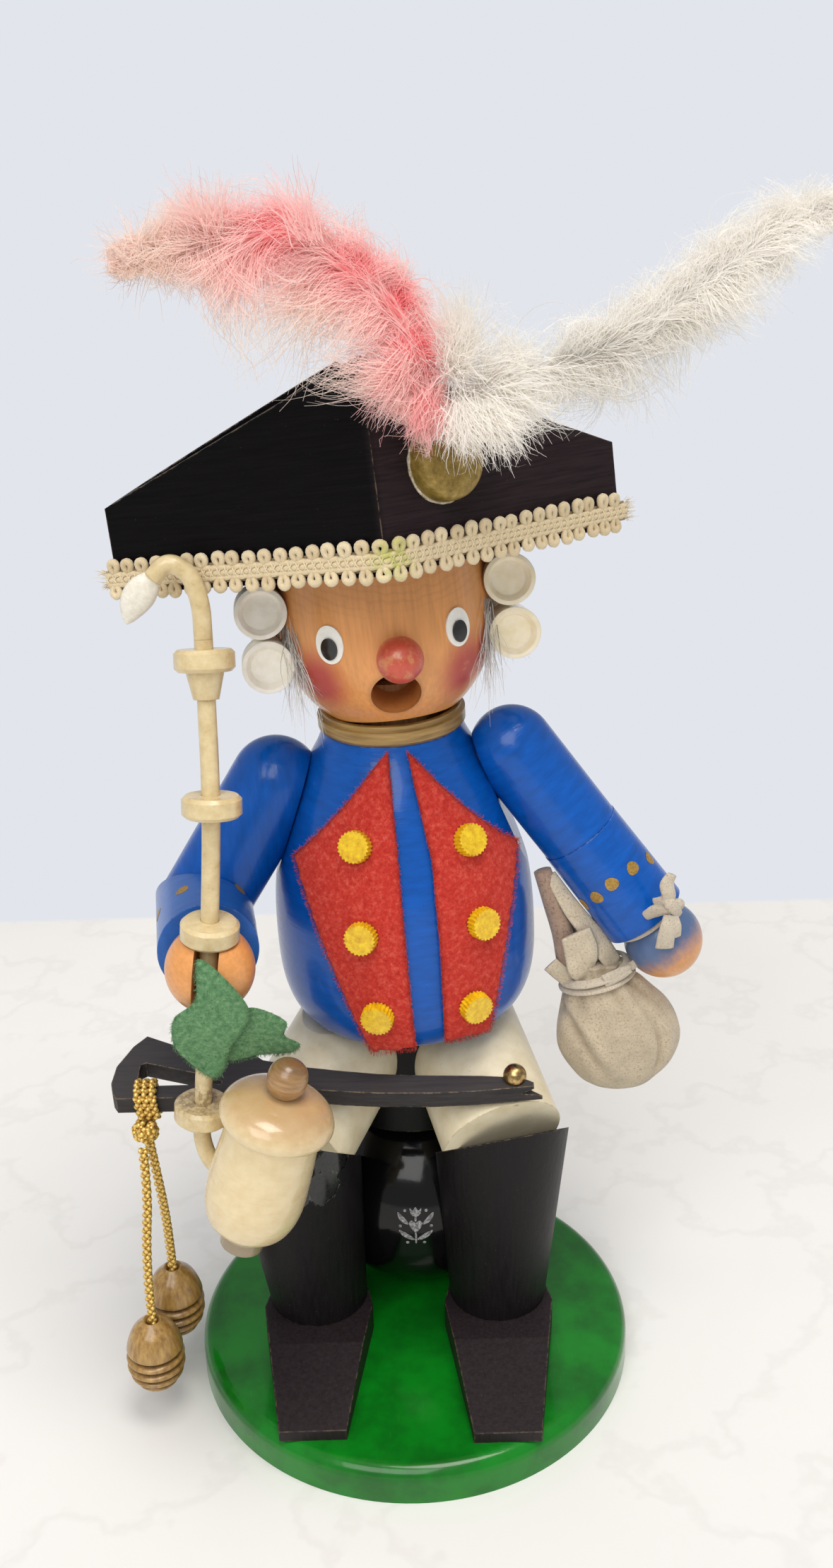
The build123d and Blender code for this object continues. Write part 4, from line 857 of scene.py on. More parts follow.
def on_coat(points, height):
    """Flat points across and up the coat's front, lifted off its surface."""
    across, up = points[:, 0], points[:, 1]
    radius = coat_radius_at(up)
    shell = radius + 1.9
    angle = np.arcsin(np.clip(across / shell, -0.999, 0.999))
    heights = np.linspace(0, COAT_HEIGHT, 154)
    lean = np.interp(up, heights, np.gradient(coat_radius_at(heights), 0.5))
    lift = radius + 0.06 + height
    local = np.stack([lift * np.sin(angle), -lift * np.cos(angle), up - height * lean * 0.7], 1)
    return placed(local, coat_frame)


def fuzz(form, outline, place, count, length, seed):
    """Short fibres that stand off a felt sheet."""
    random = np.random.default_rng(seed)
    outline = np.array([tuple(point) for point in outline], float)
    low, high = outline.min(0), outline.max(0)
    roots = random.uniform(low, high, (count * 3, 2))
    roots = roots[inside(outline, roots)][:count]
    edge = even_outline(outline, 0.4)
    edge = edge[random.integers(0, len(edge), count // 2)]
    roots = np.vstack([roots, edge])
    steps = random.uniform(-1, 1, (len(roots), 2)) * length * 0.6
    rise = [random.uniform(0.1, 0.5, len(roots) - len(edge)), random.uniform(-0.3, 0.3, len(edge))]
    rise = np.concatenate(rise) * length
    foot = place(roots, np.concatenate([np.full(len(roots) - len(edge), 1.65), np.full(len(edge), 0.9)]))
    knee = place(roots + steps * 0.6, 1.7 + rise * 0.8)
    tip = place(roots + steps, 1.7 + rise * 0.5)
    paths = np.stack([foot, knee, tip], 1)
    widths = np.tile([0.09, 0.07, 0.03], (len(roots), 1))
    tones = np.repeat(random.uniform(0.4, 0.9, len(roots))[:, None], 3, 1)
    strands(form, paths, widths, tones, random.normal(size=(len(roots), 3)))


def lay_felt(name, outline, cut, nap, wool, body):
    """Make a cut piece of felt and its nap."""
    sheet = make(name + "_felt", cut, wool, body, [name])
    fibres = make(name + "_nap", nap, wool, body)
    outline = np.array([tuple(point) for point in outline], float)


RIGHT_LAPEL = ((-0.031, 0.993), (0.0, 0.686), (0.015, 0.413), (0.037, 0.055), (-0.307, 0.033), (-0.794, 0.652))
LEFT_LAPEL = ((0.11, 0.987), (0.905, 0.625), (0.613, 0.052), (0.261, 0.064), (0.267, 0.397), (0.245, 0.675))


def felt(name, base, dark, light):
    """Pressed wool felt."""
    wool = Finish(name, base, Roughness=0.95, Sheen_Weight=0.5, Sheen_Roughness=0.5, Specular_IOR_Level=0.15)
    wool.shader.inputs["Sheen Tint"].default_value = (*light, 1)
    lumps = wool.noise(1.3, 5, 0.75)
    fibres = wool.noise(0.35, 4, 0.8, wool.stretched((1, 1, 0.35)))
    shade = wool.ramp(lumps, (0.32, dark), (0.5, base), (0.7, light))
    wool.paint(wool.glaze(wool.fade(wool.tone(), 0.5, 1.0), 0.5, shade, light))
    wool.relief(lumps, 0.16).relief(fibres, 0.14)
    return wool.material


class SMOKER_OT_lapels(bpy.types.Operator):
    """Cut the red felt lapels and paint the toothed buttons"""

    bl_idname = "smoker.lapels"
    bl_label = "Lapels and Buttons"

    def execute(self, context):
        sizes = context.scene.smoker_trim
        red = felt("red_felt", sizes.red, tint(178, 44, 38), tint(222, 104, 88))
        for name, shares, seed in (("right_lapel", RIGHT_LAPEL, 3), ("left_lapel", LEFT_LAPEL, 5)):
            outline = scaled(shares, COAT_RADIUS, COAT_HEIGHT)
            lapel, nap = Form(), Form()
            felt_sheet(lapel, outline, 1.0, on_coat, sizes.felt - 0.1, 0.8)
            fuzz(nap, outline, on_coat, 3400, 1.0, seed)
            lay_felt(name, outline, lapel, nap, red, "upper_body")
        paint = context.scene.smoker_paint.button
        yellow = Finish("button_yellow", paint, Roughness=0.3, Coat_Weight=0.35, Coat_Roughness=0.15)
        patches = yellow.noise(1.5, 4, 0.7)
        shade = yellow.ramp(patches, (0.3, tint(206, 150, 8)), (0.65, tint(246, 210, 30)))
        yellow.paint(yellow.glaze(yellow.spots(0.66, 0.72, 0.5, 2, 0.8), 0.5, shade, tint(150, 96, 10)))
        yellow.soften(0.2).dull(patches, 0.22, 0.42).relief(yellow.noise(0.7, 3), 0.05)
        wear(yellow.material, "right_buttons", "left_buttons")
        return {"FINISHED"}


# Head

class SMOKER_OT_head(bpy.types.Operator):
    """Stain the head, redden the cheeks and nose, and paint the eyes and curls"""

    bl_idname = "smoker.head"
    bl_label = "Head"

    def execute(self, context):
        colours = context.scene.smoker_paint
        head = stained_wood("head_stain", colours.skin, head_frame)
        place = head.local(head_frame)
        squeezed = head.local(head_frame, (1, 0.2, 1))
        arcs = head.node("VectorMath", 1, (0, squeezed), (1, (3, 0, 44)), operation="DISTANCE")
        arcs = head.calc("ADD", arcs, head.calc("MULTIPLY", head.noise(4, 2), 3.0))
        bands = head.calc("SINE", head.calc("MULTIPLY", arcs, 3.4))
        upper = head.fade(head.part(place, 2), 3, 10)
        shade = head.glaze(head.calc("MULTIPLY", head.fade(bands, 0.1, 0.9), upper), 0.1, head.last, tint(150, 84, 34))
        red = None
        for turn, rise, reach in ((-49, -19, 10.5), (-66, -14, 9.5), (43, -22, 10.5), (60, -18, 9.5)):
            spot = head.near(head_frame @ (toward(turn, rise) * HEAD_RADIUS), 2.0, reach)
            red = spot if red is None else head.calc("MAXIMUM", red, spot)
        red = head.calc("MULTIPLY", red, head.spots(0.1, 0.45, 3.0, 4, 0.6))
        shade = head.glaze(red, 0.95, shade, colours.blush)
        mouth = head_frame @ (toward(-3.2, -30.9) * HEAD_RADIUS)
        rim = head.calc("MULTIPLY", head.near(mouth, 5.9, 7.0), 0.25)
        head.paint(head.mix(rim, shade, tint(70, 36, 18)))
        wear(head.material, "head")

        nose = stained_wood("nose_stain", tint(204, 84, 62), head_frame)
        worn = nose.spots(0.48, 0.62, 2.4, 4, 0.65, shift=1.5)
        nose.paint(nose.mix(worn, nose.last, tint(206, 128, 84)))
        wear(nose.material, "nose")

        white = Finish("eye_white", colours.eye, Roughness=0.3, Coat_Weight=0.3)
        shade = white.ramp(white.noise(1.5, 3), (0.3, tint(240, 238, 228)), (0.7, tint(252, 250, 244)))
        white.paint(shade).relief(white.noise(0.8, 2), 0.04)
        wear(white.material, "eye_whites")
        black = Finish("eye_black", tint(8, 9, 14), Roughness=0.12, Coat_Weight=0.5)
        black.paint(black.ramp(black.noise(0.8, 3), (0.3, tint(5, 6, 10)), (0.7, tint(18, 18, 24))))
        wear(black.material, "eye_pupils")

        for side, light, dark, rough, coat in (
            ("right", tint(254, 250, 240), tint(240, 234, 218), 0.6, 0.0),
            ("left", tint(255, 244, 220), tint(244, 230, 190), 0.2, 0.5),
        ):
            curl = Finish(side + "_curl_paint", light, Roughness=rough, Coat_Weight=coat, Coat_Roughness=0.12)
            grain = curl.noise(3.0, 4, 0.6)
            shade = curl.ramp(grain, (0.3, dark), (0.62, light))
            curl.paint(curl.glaze(curl.edges(0.4), 0.4, shade, tint(244, 240, 224)))
            curl.soften(0.35).dull(grain, max(0.1, rough - 0.1), rough + 0.1).relief(grain, 0.025)
            wear(curl.material, side + "_upper_curl", side + "_lower_curl")
        return {"FINISHED"}


class SMOKER_OT_fur(bpy.types.Operator):
    """Lay the fur round the back of the head"""

    bl_idname = "smoker.fur"
    bl_label = "Fur Wig"

    def execute(self, context):
        sizes = context.scene.smoker_trim
        random = np.random.default_rng(11)
        wig = Form()
        turns = np.linspace(math.radians(98), math.radians(262), 60)
        heights = np.linspace(-2.5, 15.5, 10)
        points, faces = [], []
        for up in heights:
            for turn in turns:
                reach = 26.3 + 0.7 * math.sin(turn * 23 + up) + 0.5 * math.sin(up * 2.1 + turn * 9)
                points.append(head_frame @ Vector((math.sin(turn) * reach, -math.cos(turn) * reach, up)))
        for row in range(len(heights) - 1):
            for step in range(len(turns) - 1):
                a = row * len(turns) + step
                faces.append((a, a + 1, a + 1 + len(turns), a + len(turns)))
        # The backing under the hair gets a dark tone: painted shade
        wig.add(points, faces, 0.15)
        count = sizes.fur_hairs
        turn = random.uniform(math.radians(95), math.radians(265), count)
        up = random.uniform(-3.0, 15.5, count)
        reach = random.uniform(25.6, 27.2, count)
        out = np.stack([np.sin(turn), -np.cos(turn), np.zeros(count)], 1)
        side = np.stack([np.cos(turn), np.sin(turn), np.zeros(count)], 1)
        swirl = np.sin(turn * 11 + up * 0.8)[:, None]
        length = sizes.fur_length * random.uniform(0.5, 1.15, count)[:, None]
        heading = (
            -np.array([[0, 0, 1.0]]) * 0.75 + out * random.uniform(0.15, 0.6, (count, 1))
            + side * (swirl * 0.7 + random.normal(0, 0.3, (count, 1)))
        )
        root = out * reach[:, None] + np.stack([np.zeros(count), np.zeros(count), up], 1)
        shares = np.linspace(0, 1, 7)
        curl = random.normal(0, 1, (count, 3))
        sag = np.array([[0, 0, 1]]) * length * 0.25
        paths = np.stack([
            root + heading * length * t + curl * 0.9 * math.sin(t * 4.5) * t - sag * t**2 for t in shares
        ], 1)
        wisps = 130
        for wisp_side in (-1, 1):
            base = np.tile([wisp_side * 22.5, -9.5, 1.0], (wisps, 1))
            base = base + random.normal(0, 1.0, (wisps, 3)) * (1.0, 2.0, 2.5)
            fall = np.array([[wisp_side * -0.06, -0.32, -1.0]]) + random.normal(0, 0.16, (wisps, 3))
            bend = random.normal(0, 1.4, (wisps, 3))
            reach_down = random.uniform(9, 18, (wisps, 1))
            extra = np.stack([base + fall * reach_down * t + bend * math.sin(3.2 * t) * 0.5 for t in shares], 1)
            extra *= np.maximum(1, (HEAD_RADIUS + 0.4) / np.linalg.norm(extra, axis=2))[:, :, None]
            paths = np.concatenate([paths, extra])
        paths = placed(paths, head_frame)
        widths = np.tile(np.linspace(0.2, 0.05, len(shares)), (len(paths), 1))
        # Tones vary at random from hair to hair, and are darker towards the roots as painted shade
        tones = np.clip(random.normal(0.6, 0.2, (len(paths), 1)) + np.linspace(-0.15, 0.2, len(shares)), 0, 1)
        strands(wig, paths, widths, tones, random.normal(size=(len(paths), 3)))
        hair = Finish("grey_fur", sizes.fur, Roughness=0.7, Sheen_Weight=0.3, Specular_IOR_Level=0.3)
        stops = (0.0, tint(112, 106, 100)), (0.5, tint(196, 192, 185)), (1.0, tint(238, 236, 230))
        hair.paint(hair.ramp(hair.tone(), *stops))
        make("fur_wig_hair", wig, hair.material, "upper_body", ["fur_wig"])
        return {"FINISHED"}


# Hat, cockade and braid

class SMOKER_OT_hat(bpy.types.Operator):
    """Paint the three-cornered hat and its cockade"""

    bl_idname = "smoker.hat"
    bl_label = "Hat and Cockade"

    def execute(self, context):
        colours = context.scene.smoker_paint
        black = Finish("hat_black", colours.hat, Roughness=0.42, Specular_IOR_Level=0.09)
        grain = black.noise(0.7, 4, 0.65, black.local(hat_frame, (0.05, 0.05, 1)))
        place = black.local(hat_frame)
        # Painted light: the hat's right half is painted a lighter, browner black, as if that side caught the lamp
        painted_light_side = black.fade(black.part(place, 0), -1.5, 1.5)
        cold = black.ramp(grain, (0.3, tint(4, 3, 4)), (0.75, tint(14, 12, 14)))
        painted_lit_black = black.ramp(grain, (0.3, tint(30, 22, 25)), (0.75, tint(52, 41, 44)))
        shade = black.mix(painted_light_side, cold, painted_lit_black)
        rubbed = black.rubbed(0.55, black.noise(2.6, 4, 0.7), 0.42, 0.62)
        shade = black.glaze(rubbed, 0.75, shade, tint(168, 146, 120))
        dust = black.spots(0.7, 0.75, 0.45, 2, 0.75)
        black.paint(black.glaze(dust, 0.35, shade, tint(120, 116, 116)))
        black.soften(0.35).dull(grain, 0.34, 0.52).relief(grain, 0.05)
        wear(black.material, "hat")

        gold = Finish("cockade_gold", colours.gold, Roughness=0.4, Metallic=0.25)
        patches = gold.noise(1.8, 5, 0.7)
        shade = gold.ramp(patches, (0.3, tint(104, 84, 30)), (0.52, tint(150, 124, 56)), (0.72, tint(182, 158, 92)))
        worn = gold.spots(0.62, 0.7, 0.7, 3, 0.8)
        gold.paint(gold.glaze(worn, 0.5, shade, tint(206, 186, 134)))
        gold.dull(patches, 0.3, 0.55).relief(patches, 0.12).relief(gold.noise(0.5, 3), 0.03)
        wear(gold.material, "cockade")

        rim_glue = Finish("glue_rim", tint(196, 186, 160), Roughness=0.25, Coat_Weight=0.5)
        rim_glue.paint(rim_glue.ramp(rim_glue.noise(0.8, 3), (0.35, tint(150, 132, 92)), (0.65, tint(214, 206, 186))))
        middle = Vector((17.1 * math.cos(FACE_TURN), 17.1 * math.sin(FACE_TURN) - HAT_FRONT, 21))
        facing = Vector((math.sin(FACE_TURN), -math.cos(FACE_TURN), 0))
        flat = hat_frame @ frame_of(middle, (0, 0, 1), facing)
        random = np.random.default_rng(17)
        rim = Form()
        rope(rim, hoop(flat, 60, 8.4, 8.4, lambda angle: 0.25), 0.32 + 0.16 * random.random(60), 6, closed=True)
        make("cockade_glue", rim, rim_glue.material, "upper_body")
        return {"FINISHED"}


def braid_route(stand_off, step):
    """The line of the braid round the hat's front corner, in the hat's frame, in even steps."""
    normal = np.array([math.sin(FACE_TURN), -math.cos(FACE_TURN)])
    along = np.array([math.cos(FACE_TURN), math.sin(FACE_TURN)])
    left = np.array([HAT_SIDE, -HAT_BACK]) + normal * stand_off + along * 1.4
    corner = np.array([0, -HAT_FRONT - stand_off / math.cos(FACE_TURN)])
    half = np.linspace(left, corner + along * 2.2, 40)
    bend = np.array([corner + along * 1.1 - (0, -0.12), corner + (0, 0.35)])
    right = np.vstack([half, bend[:1]])[::-1] * (-1, 1)
    line = np.vstack([half, bend, right])[::-1]
    steps = distances(line)
    return resampled(line, steps, np.arange(0, steps[-1], step))


class SMOKER_OT_braid(bpy.types.Operator):
    """Sew the looped gimp braid round the foot of the hat"""

    bl_idname = "smoker.braid"
    bl_label = "Braid"

    def execute(self, context):
        sizes = context.scene.smoker_trim
        pitch, reach = sizes.braid_pitch, sizes.braid_loop
        random = np.random.default_rng(23)
        step = 0.32
        middle = 3.3
        line = braid_route(0.95, step)
        along = headings_of(line)
        outward = np.stack([along[:, 1], -along[:, 0]], 1)
        placing = np.array(hat_frame.to_3x3())

        def place(index, across, proud):
            """A point at a share of the line, this far up the hat and off its wall."""
            index = np.clip(np.asarray(index, float), 0, len(line) - 1)
            low = np.floor(index).astype(int).clip(0, len(line) - 2)
            share = (index - low)[:, None]
            spot = line[low] * (1 - share) + line[low + 1] * share
            spot = spot + outward[low] * proud[:, None]
            return placed(np.column_stack([spot, middle + across]), hat_frame)

        braid = Form()
        index = np.arange(0, len(line), 1.0)
        beat = index * step / pitch * 2 * math.pi
        for row, level in enumerate((-1.08, 0.0, 1.08)):
            phase = beat * 2 + row * 2.1
            rope(braid, place(index, level + 0.08 * np.sin(phase), 0.15 + 0.14 * np.cos(phase)), 0.64, 8, tone=0.85)
        for turn in np.arange(0.5, len(line) - 2, pitch / step / 2):
            for lean in (-1, 1):
                span = np.linspace(-1.55, 1.55, 9)
                bulge = 0.68 * np.cos(span / 1.75 * math.pi / 2) + 0.12
                rope(braid, place(turn + lean * span / step * 0.5, span, bulge), 0.2, 5, tone=0.95)
        loops = int((len(line) - 1) * step / pitch)
        for number in range(loops):
            for side in (-1, 1):
                start = (number + 0.5 + 0.12 * random.normal() * 0.3) * pitch / step
                wide = pitch * 0.29 * random.uniform(0.92, 1.06)
                tall = reach * random.uniform(0.9, 1.1)
                turn = round_turn(16)
                drop = np.sin(turn / 2) ** 0.8
                across = side * (1.3 + tall * (1 - np.cos(turn)) / 2)
                sway = wide * np.sin(turn) * (0.15 + 0.85 * drop) + random.normal(0, 0.1)
                lift = 0.1 + 0.35 * np.sin(turn / 2) + random.normal(0, 0.1)
                thick = 0.42 + 0.42 * drop
                # Painted shade: each loop is darker where it meets the cords and lighter at its far end
                painted_loop_shade = 0.5 + 0.3 * random.random() + 0.2 * drop
                loop = place(start + sway / step, across, lift)
                rope(braid, loop, thick, 8, closed=True, tone=np.repeat(painted_loop_shade, 8))
        ends = []
        share = np.linspace(0, 1, 6)
        for end, heading in ((0, -1), (len(line) - 1, 1)):
            for _ in range(46):
                level = random.uniform(-2.4, 2.4)
                length = random.uniform(0.8, 3.2)
                across = level + random.normal(0, 0.5) * share
                proud = random.uniform(-0.4, 0.6) + random.normal(0, 0.5) * share
                base = place([end] * len(share), across, proud)
                direction = placing @ np.array([*along[end], 0]) * heading
                ends.append(base + direction * (share * length)[:, None])
        widths = np.tile(np.linspace(0.22, 0.07, len(share)), (len(ends), 1))
        strands(braid, ends, widths, np.full(widths.shape, 0.9), random.normal(size=(len(ends), 3)))
        # The tape under the cords gets a dark tone: painted shade
        tape = place(index, np.zeros(len(index)), np.full(len(index), -0.45))
        rope(braid, tape, 2.2, 10, flat=0.42, facing=placing @ (0, -1, 0), tone=0.15)

        cream = Finish("braid_cream", sizes.braid, Roughness=0.75, Sheen_Weight=0.35, Specular_IOR_Level=0.25)
        thread = cream.noise(0.32, 3, 0.7)
        # Dark tones are painted shade between the cords, loops and tape. Light tones are the cream thread
        stops = (0.0, tint(92, 74, 48)), (0.5, tint(206, 184, 144)), (1.0, tint(238, 222, 186))
        shade = cream.ramp(cream.tone(), *stops)
        shade = cream.glaze(cream.fade(thread, 0.3, 0.7), 0.3, shade, tint(176, 150, 108))
        stain = cream.near(hat_frame @ Vector((2, -47.5, 4)), 1.5, 7.5)
        stain = cream.calc("MULTIPLY", stain, cream.spots(0.36, 0.56, 2.2, 3))
        cream.paint(cream.glaze(stain, 0.7, shade, tint(186, 190, 84)))
        cream.relief(thread, 0.12).relief(cream.noise(0.15, 2), 0.04)
        make("hat_braid", braid, cream.material, "upper_body", ["hat_trim"])
        return {"FINISHED"}


# Feathers

PINK_SPINE = (
    (-2.6, 1), (-3.5, 12.8), (-4.6, 18.3), (-7.2, 29.2), (-13.5, 34.1), (-21.7, 40.5), (-27.7, 43.9), (-37.5, 43.4),
    (-48.3, 43.1), (-57.7, 42.0),
)
PINK_EDGE = (
    (-61.2, 43.5), (-56.0, 46.1), (-49.8, 51.7), (-45.2, 54.2), (-36.9, 54.6), (-30.2, 56.0), (-19.6, 53.7),
    (-16.6, 48.4), (-10.0, 45.5), (-8.9, 41.7), (-1.1, 36.4), (1.5, 28.7), (2.7, 22.6), (2.0, 11.7), (-1.2, 0.6),
    (-5.4, 1.6), (-9.6, 4.2), (-15.2, 9.7), (-20.5, 11.3), (-31.5, 12.2), (-36.1, 17.9), (-39.8, 21.5), (-42.5, 28.1),
    (-44.6, 32.6), (-51.6, 35.6),
)
WHITE_SPINE = (
    (1.5, 1), (7.9, 8.2), (16.8, 11.2), (28.4, 12.5), (40.2, 16.6), (52.9, 23.3), (67.2, 30.0), (76.8, 34.2),
    (83.4, 35.0),
)
WHITE_EDGE = (
    (0.5, 0.0), (0.4, 14.5), (1.6, 23.9), (8.1, 29.3), (19.7, 23.0), (29.2, 21.8), (38.4, 25.7), (50.8, 30.8),
    (57.3, 34.9), (66.4, 37.2), (73.2, 42.1), (85.7, 40.9), (83.0, 28.1), (72.0, 21.7), (65.2, 15.4), (55.1, 11.2),
    (49.5, 4.7), (45.6, -0.7), (38.0, -2.6), (32.4, -0.2), (25.1, -0.7), (14.9, -1.5), (6, -2.5),
)


def feather_depth(up, front):
    """How far back a feather lies at a height: upright, then leaning back."""
    return front + np.maximum(0, up - 18) * math.tan(math.radians(22))


def reach_of(outline, starts, headings):
    """How far each start can go along its heading before it crosses the outline."""
    best = np.full(len(starts), 1e9)
    for a, b in zip(outline, np.roll(outline, -1, 0)):
        run = b - a
        cross = headings[:, 0] * run[1] - headings[:, 1] * run[0]
        cross = np.where(np.abs(cross) < 1e-9, 1e-9, cross)
        gap = a - starts
        far = (gap[:, 0] * run[1] - gap[:, 1] * run[0]) / cross
        share = (gap[:, 0] * headings[:, 1] - gap[:, 1] * headings[:, 0]) / cross
        best = np.where((far > 0) & (share >= 0) & (share <= 1) & (far < best), far, best)
    return np.where(best > 1e8, 4.0, best)


def feather(spine, edge, front, seed, colours, tufts):
    """A down feather: a quill, and curled barbs that reach from it to the outline."""
    sizes = bpy.context.scene.smoker_feather
    random = np.random.default_rng(seed)
    quill, last = smooth_line(spine, QUILL_POINTS), QUILL_POINTS - 1
    outline = smooth_line(edge, 240, closed=True)
    along = headings_of(quill)
    count, tufted = sizes.barbs, 300
    tuft = random.integers(0, tufted, count)

    def shared(values, own):
        """A value that a tuft's barbs share, with a little of each barb's own."""
        return values[tuft] + random.normal(0, own, count)

    place = np.clip(shared(random.uniform(0, 1, tufted) ** 0.9 * last, 2.2), 0, last)
    low = np.floor(place).astype(int).clip(0, last - 1)
    start = quill[low] + (quill[low + 1] - quill[low]) * (place - low)[:, None]
    side = np.where(random.random(tufted) < 0.5, -1.0, 1.0)[tuft]
    angle = side * np.radians(shared(random.normal(56, 26, tufted), 9))
    heading = np.stack([
        along[low, 0] * np.cos(angle) - along[low, 1] * np.sin(angle),
        along[low, 0] * np.sin(angle) + along[low, 1] * np.cos(angle),
    ], 1)
    length = np.minimum(reach_of(outline, start, heading), 26) * random.uniform(0.5, 1.14, tufted)[tuft]
    length = np.maximum(length * random.uniform(0.5, 1.04, count), 4.0)
    length = length + np.where(random.random(count) < 0.025, random.uniform(1, 3.5, count), 0)
    points = 11
    share = np.linspace(0, 1, points)[None, :, None]
    across = np.stack([-heading[:, 1], heading[:, 0]], 1)[:, None, :]
    bow = (shared(random.normal(0, 0.14, tufted), 0.06) - side * 0.12)[:, None, None] * length[:, None, None]
    beats = shared(random.uniform(4, 9, tufted), 0.8)[:, None, None]
    phase = shared(random.uniform(0, 6.3, tufted), 0.7)[:, None, None]
    curl = shared(random.uniform(0.6, 3.0, tufted), 0.5)[:, None, None]
    flat = start[:, None, :] + heading[:, None, :] * length[:, None, None] * share
    flat = flat + across * (bow * np.sin(share * math.pi) + np.sin(share * beats + phase) * share * curl * 0.8)
    sway = np.sin(share * beats * 0.8 + phase * 1.7)[:, :, 0] * share[0, :, 0] * curl[:, :, 0] * 0.8
    leaning_out = shared(random.normal(0, 0.42, tufted), 0.18)[:, None] * sizes.body
    spread_out = leaning_out * share[0, :, 0] * np.clip(length / 12, 0.3, 1)[:, None]
    deep = feather_depth(flat[:, :, 1], front) + spread_out + sway
    off_core = np.clip(share[0, :, 0] * length[:, None] / 13, 0, 1)
    tones = colours(off_core, flat, random)
    paths = np.stack([flat[:, :, 0], deep, flat[:, :, 1]], 2)
    tuft_paths, tuft_tones = [], []
    for root, aim, spray, amount, reach, tone in tufts:
        base = np.array(root, float) + random.normal(0, 1.6, (amount, 3)) * (1, 0.5, 1)
        direction = np.array(aim, float) + random.normal(0, spray, (amount, 3))
        direction /= np.linalg.norm(direction, axis=1)[:, None]
        far = random.uniform(0.45, 1.1, amount)[:, None, None] * reach
        sway = random.normal(0, 1, (amount, 1, 3)) * np.sin(share * random.uniform(3, 7, amount)[:, None, None])
        tuft_paths.append(base[:, None, :] + direction[:, None, :] * far * share + sway * share)
        tuft_tones.append(np.clip(tone + random.normal(0, 0.1, (amount, 1)) + share[:, :, 0] * 0.1, 0, 1))
    paths = np.concatenate([paths, *tuft_paths])
    tones = np.concatenate([tones, *tuft_tones])
    paths = placed(paths, feather_frame)
    width = sizes.width * random.uniform(0.7, 1.2, (len(paths), 1)) * np.linspace(1, 0.22, points)
    plume = Form()
    strands(plume, paths, width, tones, random.normal(size=(len(paths), 3)) * 0.45 + (0, -0.7, 0.75))
    stem = np.column_stack([quill[:, 0], feather_depth(quill[:, 1], front), quill[:, 1]])
    rope(plume, placed(stem, feather_frame), np.linspace(0.55, 0.12, QUILL_POINTS), 6)
    return plume


HOT_SPOTS = ((-27.7, 44.0, 6.5), (-14.0, 35.0, 5.5), (-3.6, 18.5, 6.5), (-6.0, 28.0, 4.0))


def pink_tones(off_core, flat, random):
    """Dye that is strongest in a few cores along the quill and fades to beige at the tip and lower fringe."""
    across, up = flat[:, :, 0], flat[:, :, 1]
    hot = np.max([np.exp(-((across - x) ** 2 + (up - y) ** 2) / reach**2) for x, y, reach in HOT_SPOTS], axis=0)
    tip = spread(across, -38, -54)
    lower = spread(-across - 14, 0, 14) * spread(34 - up, 0, 10)
    dye = 0.36 - 0.3 * np.maximum(tip, lower) + 0.62 * hot * (1 - 0.5 * off_core) - 0.08 * off_core
    return np.clip(dye + random.normal(0, 0.08, (len(flat), 1)), 0, 1)


def white_tones(off_core, flat, random):
    """Lighter above and at the ends, with painted shade greying the middle below."""
    below = spread(16 + flat[:, :, 0] * 0.2 - flat[:, :, 1], -2, 10) * spread(flat[:, :, 0], 14, 28)
    return np.clip(0.9 - 0.3 * below + random.normal(0, 0.1, (len(flat), 1)), 0, 1)


def down(name, base, *stops):
    """Soft down that lets a little light through."""
    plume = Finish(name, base, Roughness=0.6, Specular_IOR_Level=0.2, Sheen_Weight=0.25)
    colour_of = plume.ramp(plume.tone(), *stops)
    plume.paint(plume.glaze(plume.noise(1.6, 3, 0.6), 0.25, colour_of, base))
    see_through = plume.node("BsdfTranslucent", 0, (0, colour_of))
    blend = plume.node("MixShader", 0, (0, 0.5), (1, plume.shader.outputs[0]), (2, see_through))
    output = plume.tree.nodes["Material Output"]
    plume.tree.links.new(blend, output.inputs["Surface"])
    return plume.material


class SMOKER_OT_feathers(bpy.types.Operator):
    """Grow the pink and the white down feather, barb by barb"""

    bl_idname = "smoker.feathers"
    bl_label = "Feathers"

    def execute(self, context):
        sizes = context.scene.smoker_feather
        hot, pale, beige = sizes.hot, sizes.pale, sizes.beige
        pink = feather(PINK_SPINE, PINK_EDGE, -5.8, 31, pink_tones, (
            ((-3, -7, 9), (-0.35, -0.25, -1), 0.35, 260, 9, 0.55),
            ((-6, -6, 16), (-0.8, 0, -0.9), 0.3, 260, 13, 0.35),
            ((-22, -4, 42), (-0.3, 0, 1), 0.3, 60, 14, 0.4),
            ((-54, 3.9, 42), (-1, -0.1, 0.1), 0.8, 240, 10, 0.12),
            ((-40, 3.5, 45), (-0.6, -0.1, 1), 0.6, 260, 11, 0.25),
        ))
        soft = down("feather_pink", pale, (0.0, beige), (0.34, pale), (0.7, tint(254, 192, 192)), (1.0, hot))
        make("pink_down", pink, soft, "upper_body", ["pink_feather"])
        light, grey = sizes.white, sizes.grey
        white = feather(WHITE_SPINE, WHITE_EDGE, -2.5, 37, white_tones, (
            ((3, -8.5, 6), (0.1, -0.35, -1), 0.4, 420, 9.5, 0.9),
            ((8, -8, 5), (0.6, -0.3, -1), 0.4, 420, 10, 0.85),
            ((3, -6, 14), (0.1, -0.5, 0.6), 0.7, 420, 11, 0.95),
            ((12, -5, 8), (0.7, -0.5, -0.7), 0.4, 260, 11, 0.7),
            ((5, -4, 18), (-0.1, -0.2, 1), 0.45, 420, 12, 0.95),
        ))
        stops = (0.0, tint(216, 208, 196)), (0.45, grey), (0.85, light), (1.0, tint(252, 248, 242))
        soft = down("feather_white", light, *stops)
        make("white_down", white, soft, "upper_body", ["white_feather"])
        return {"FINISHED"}


# Pipe and leaves

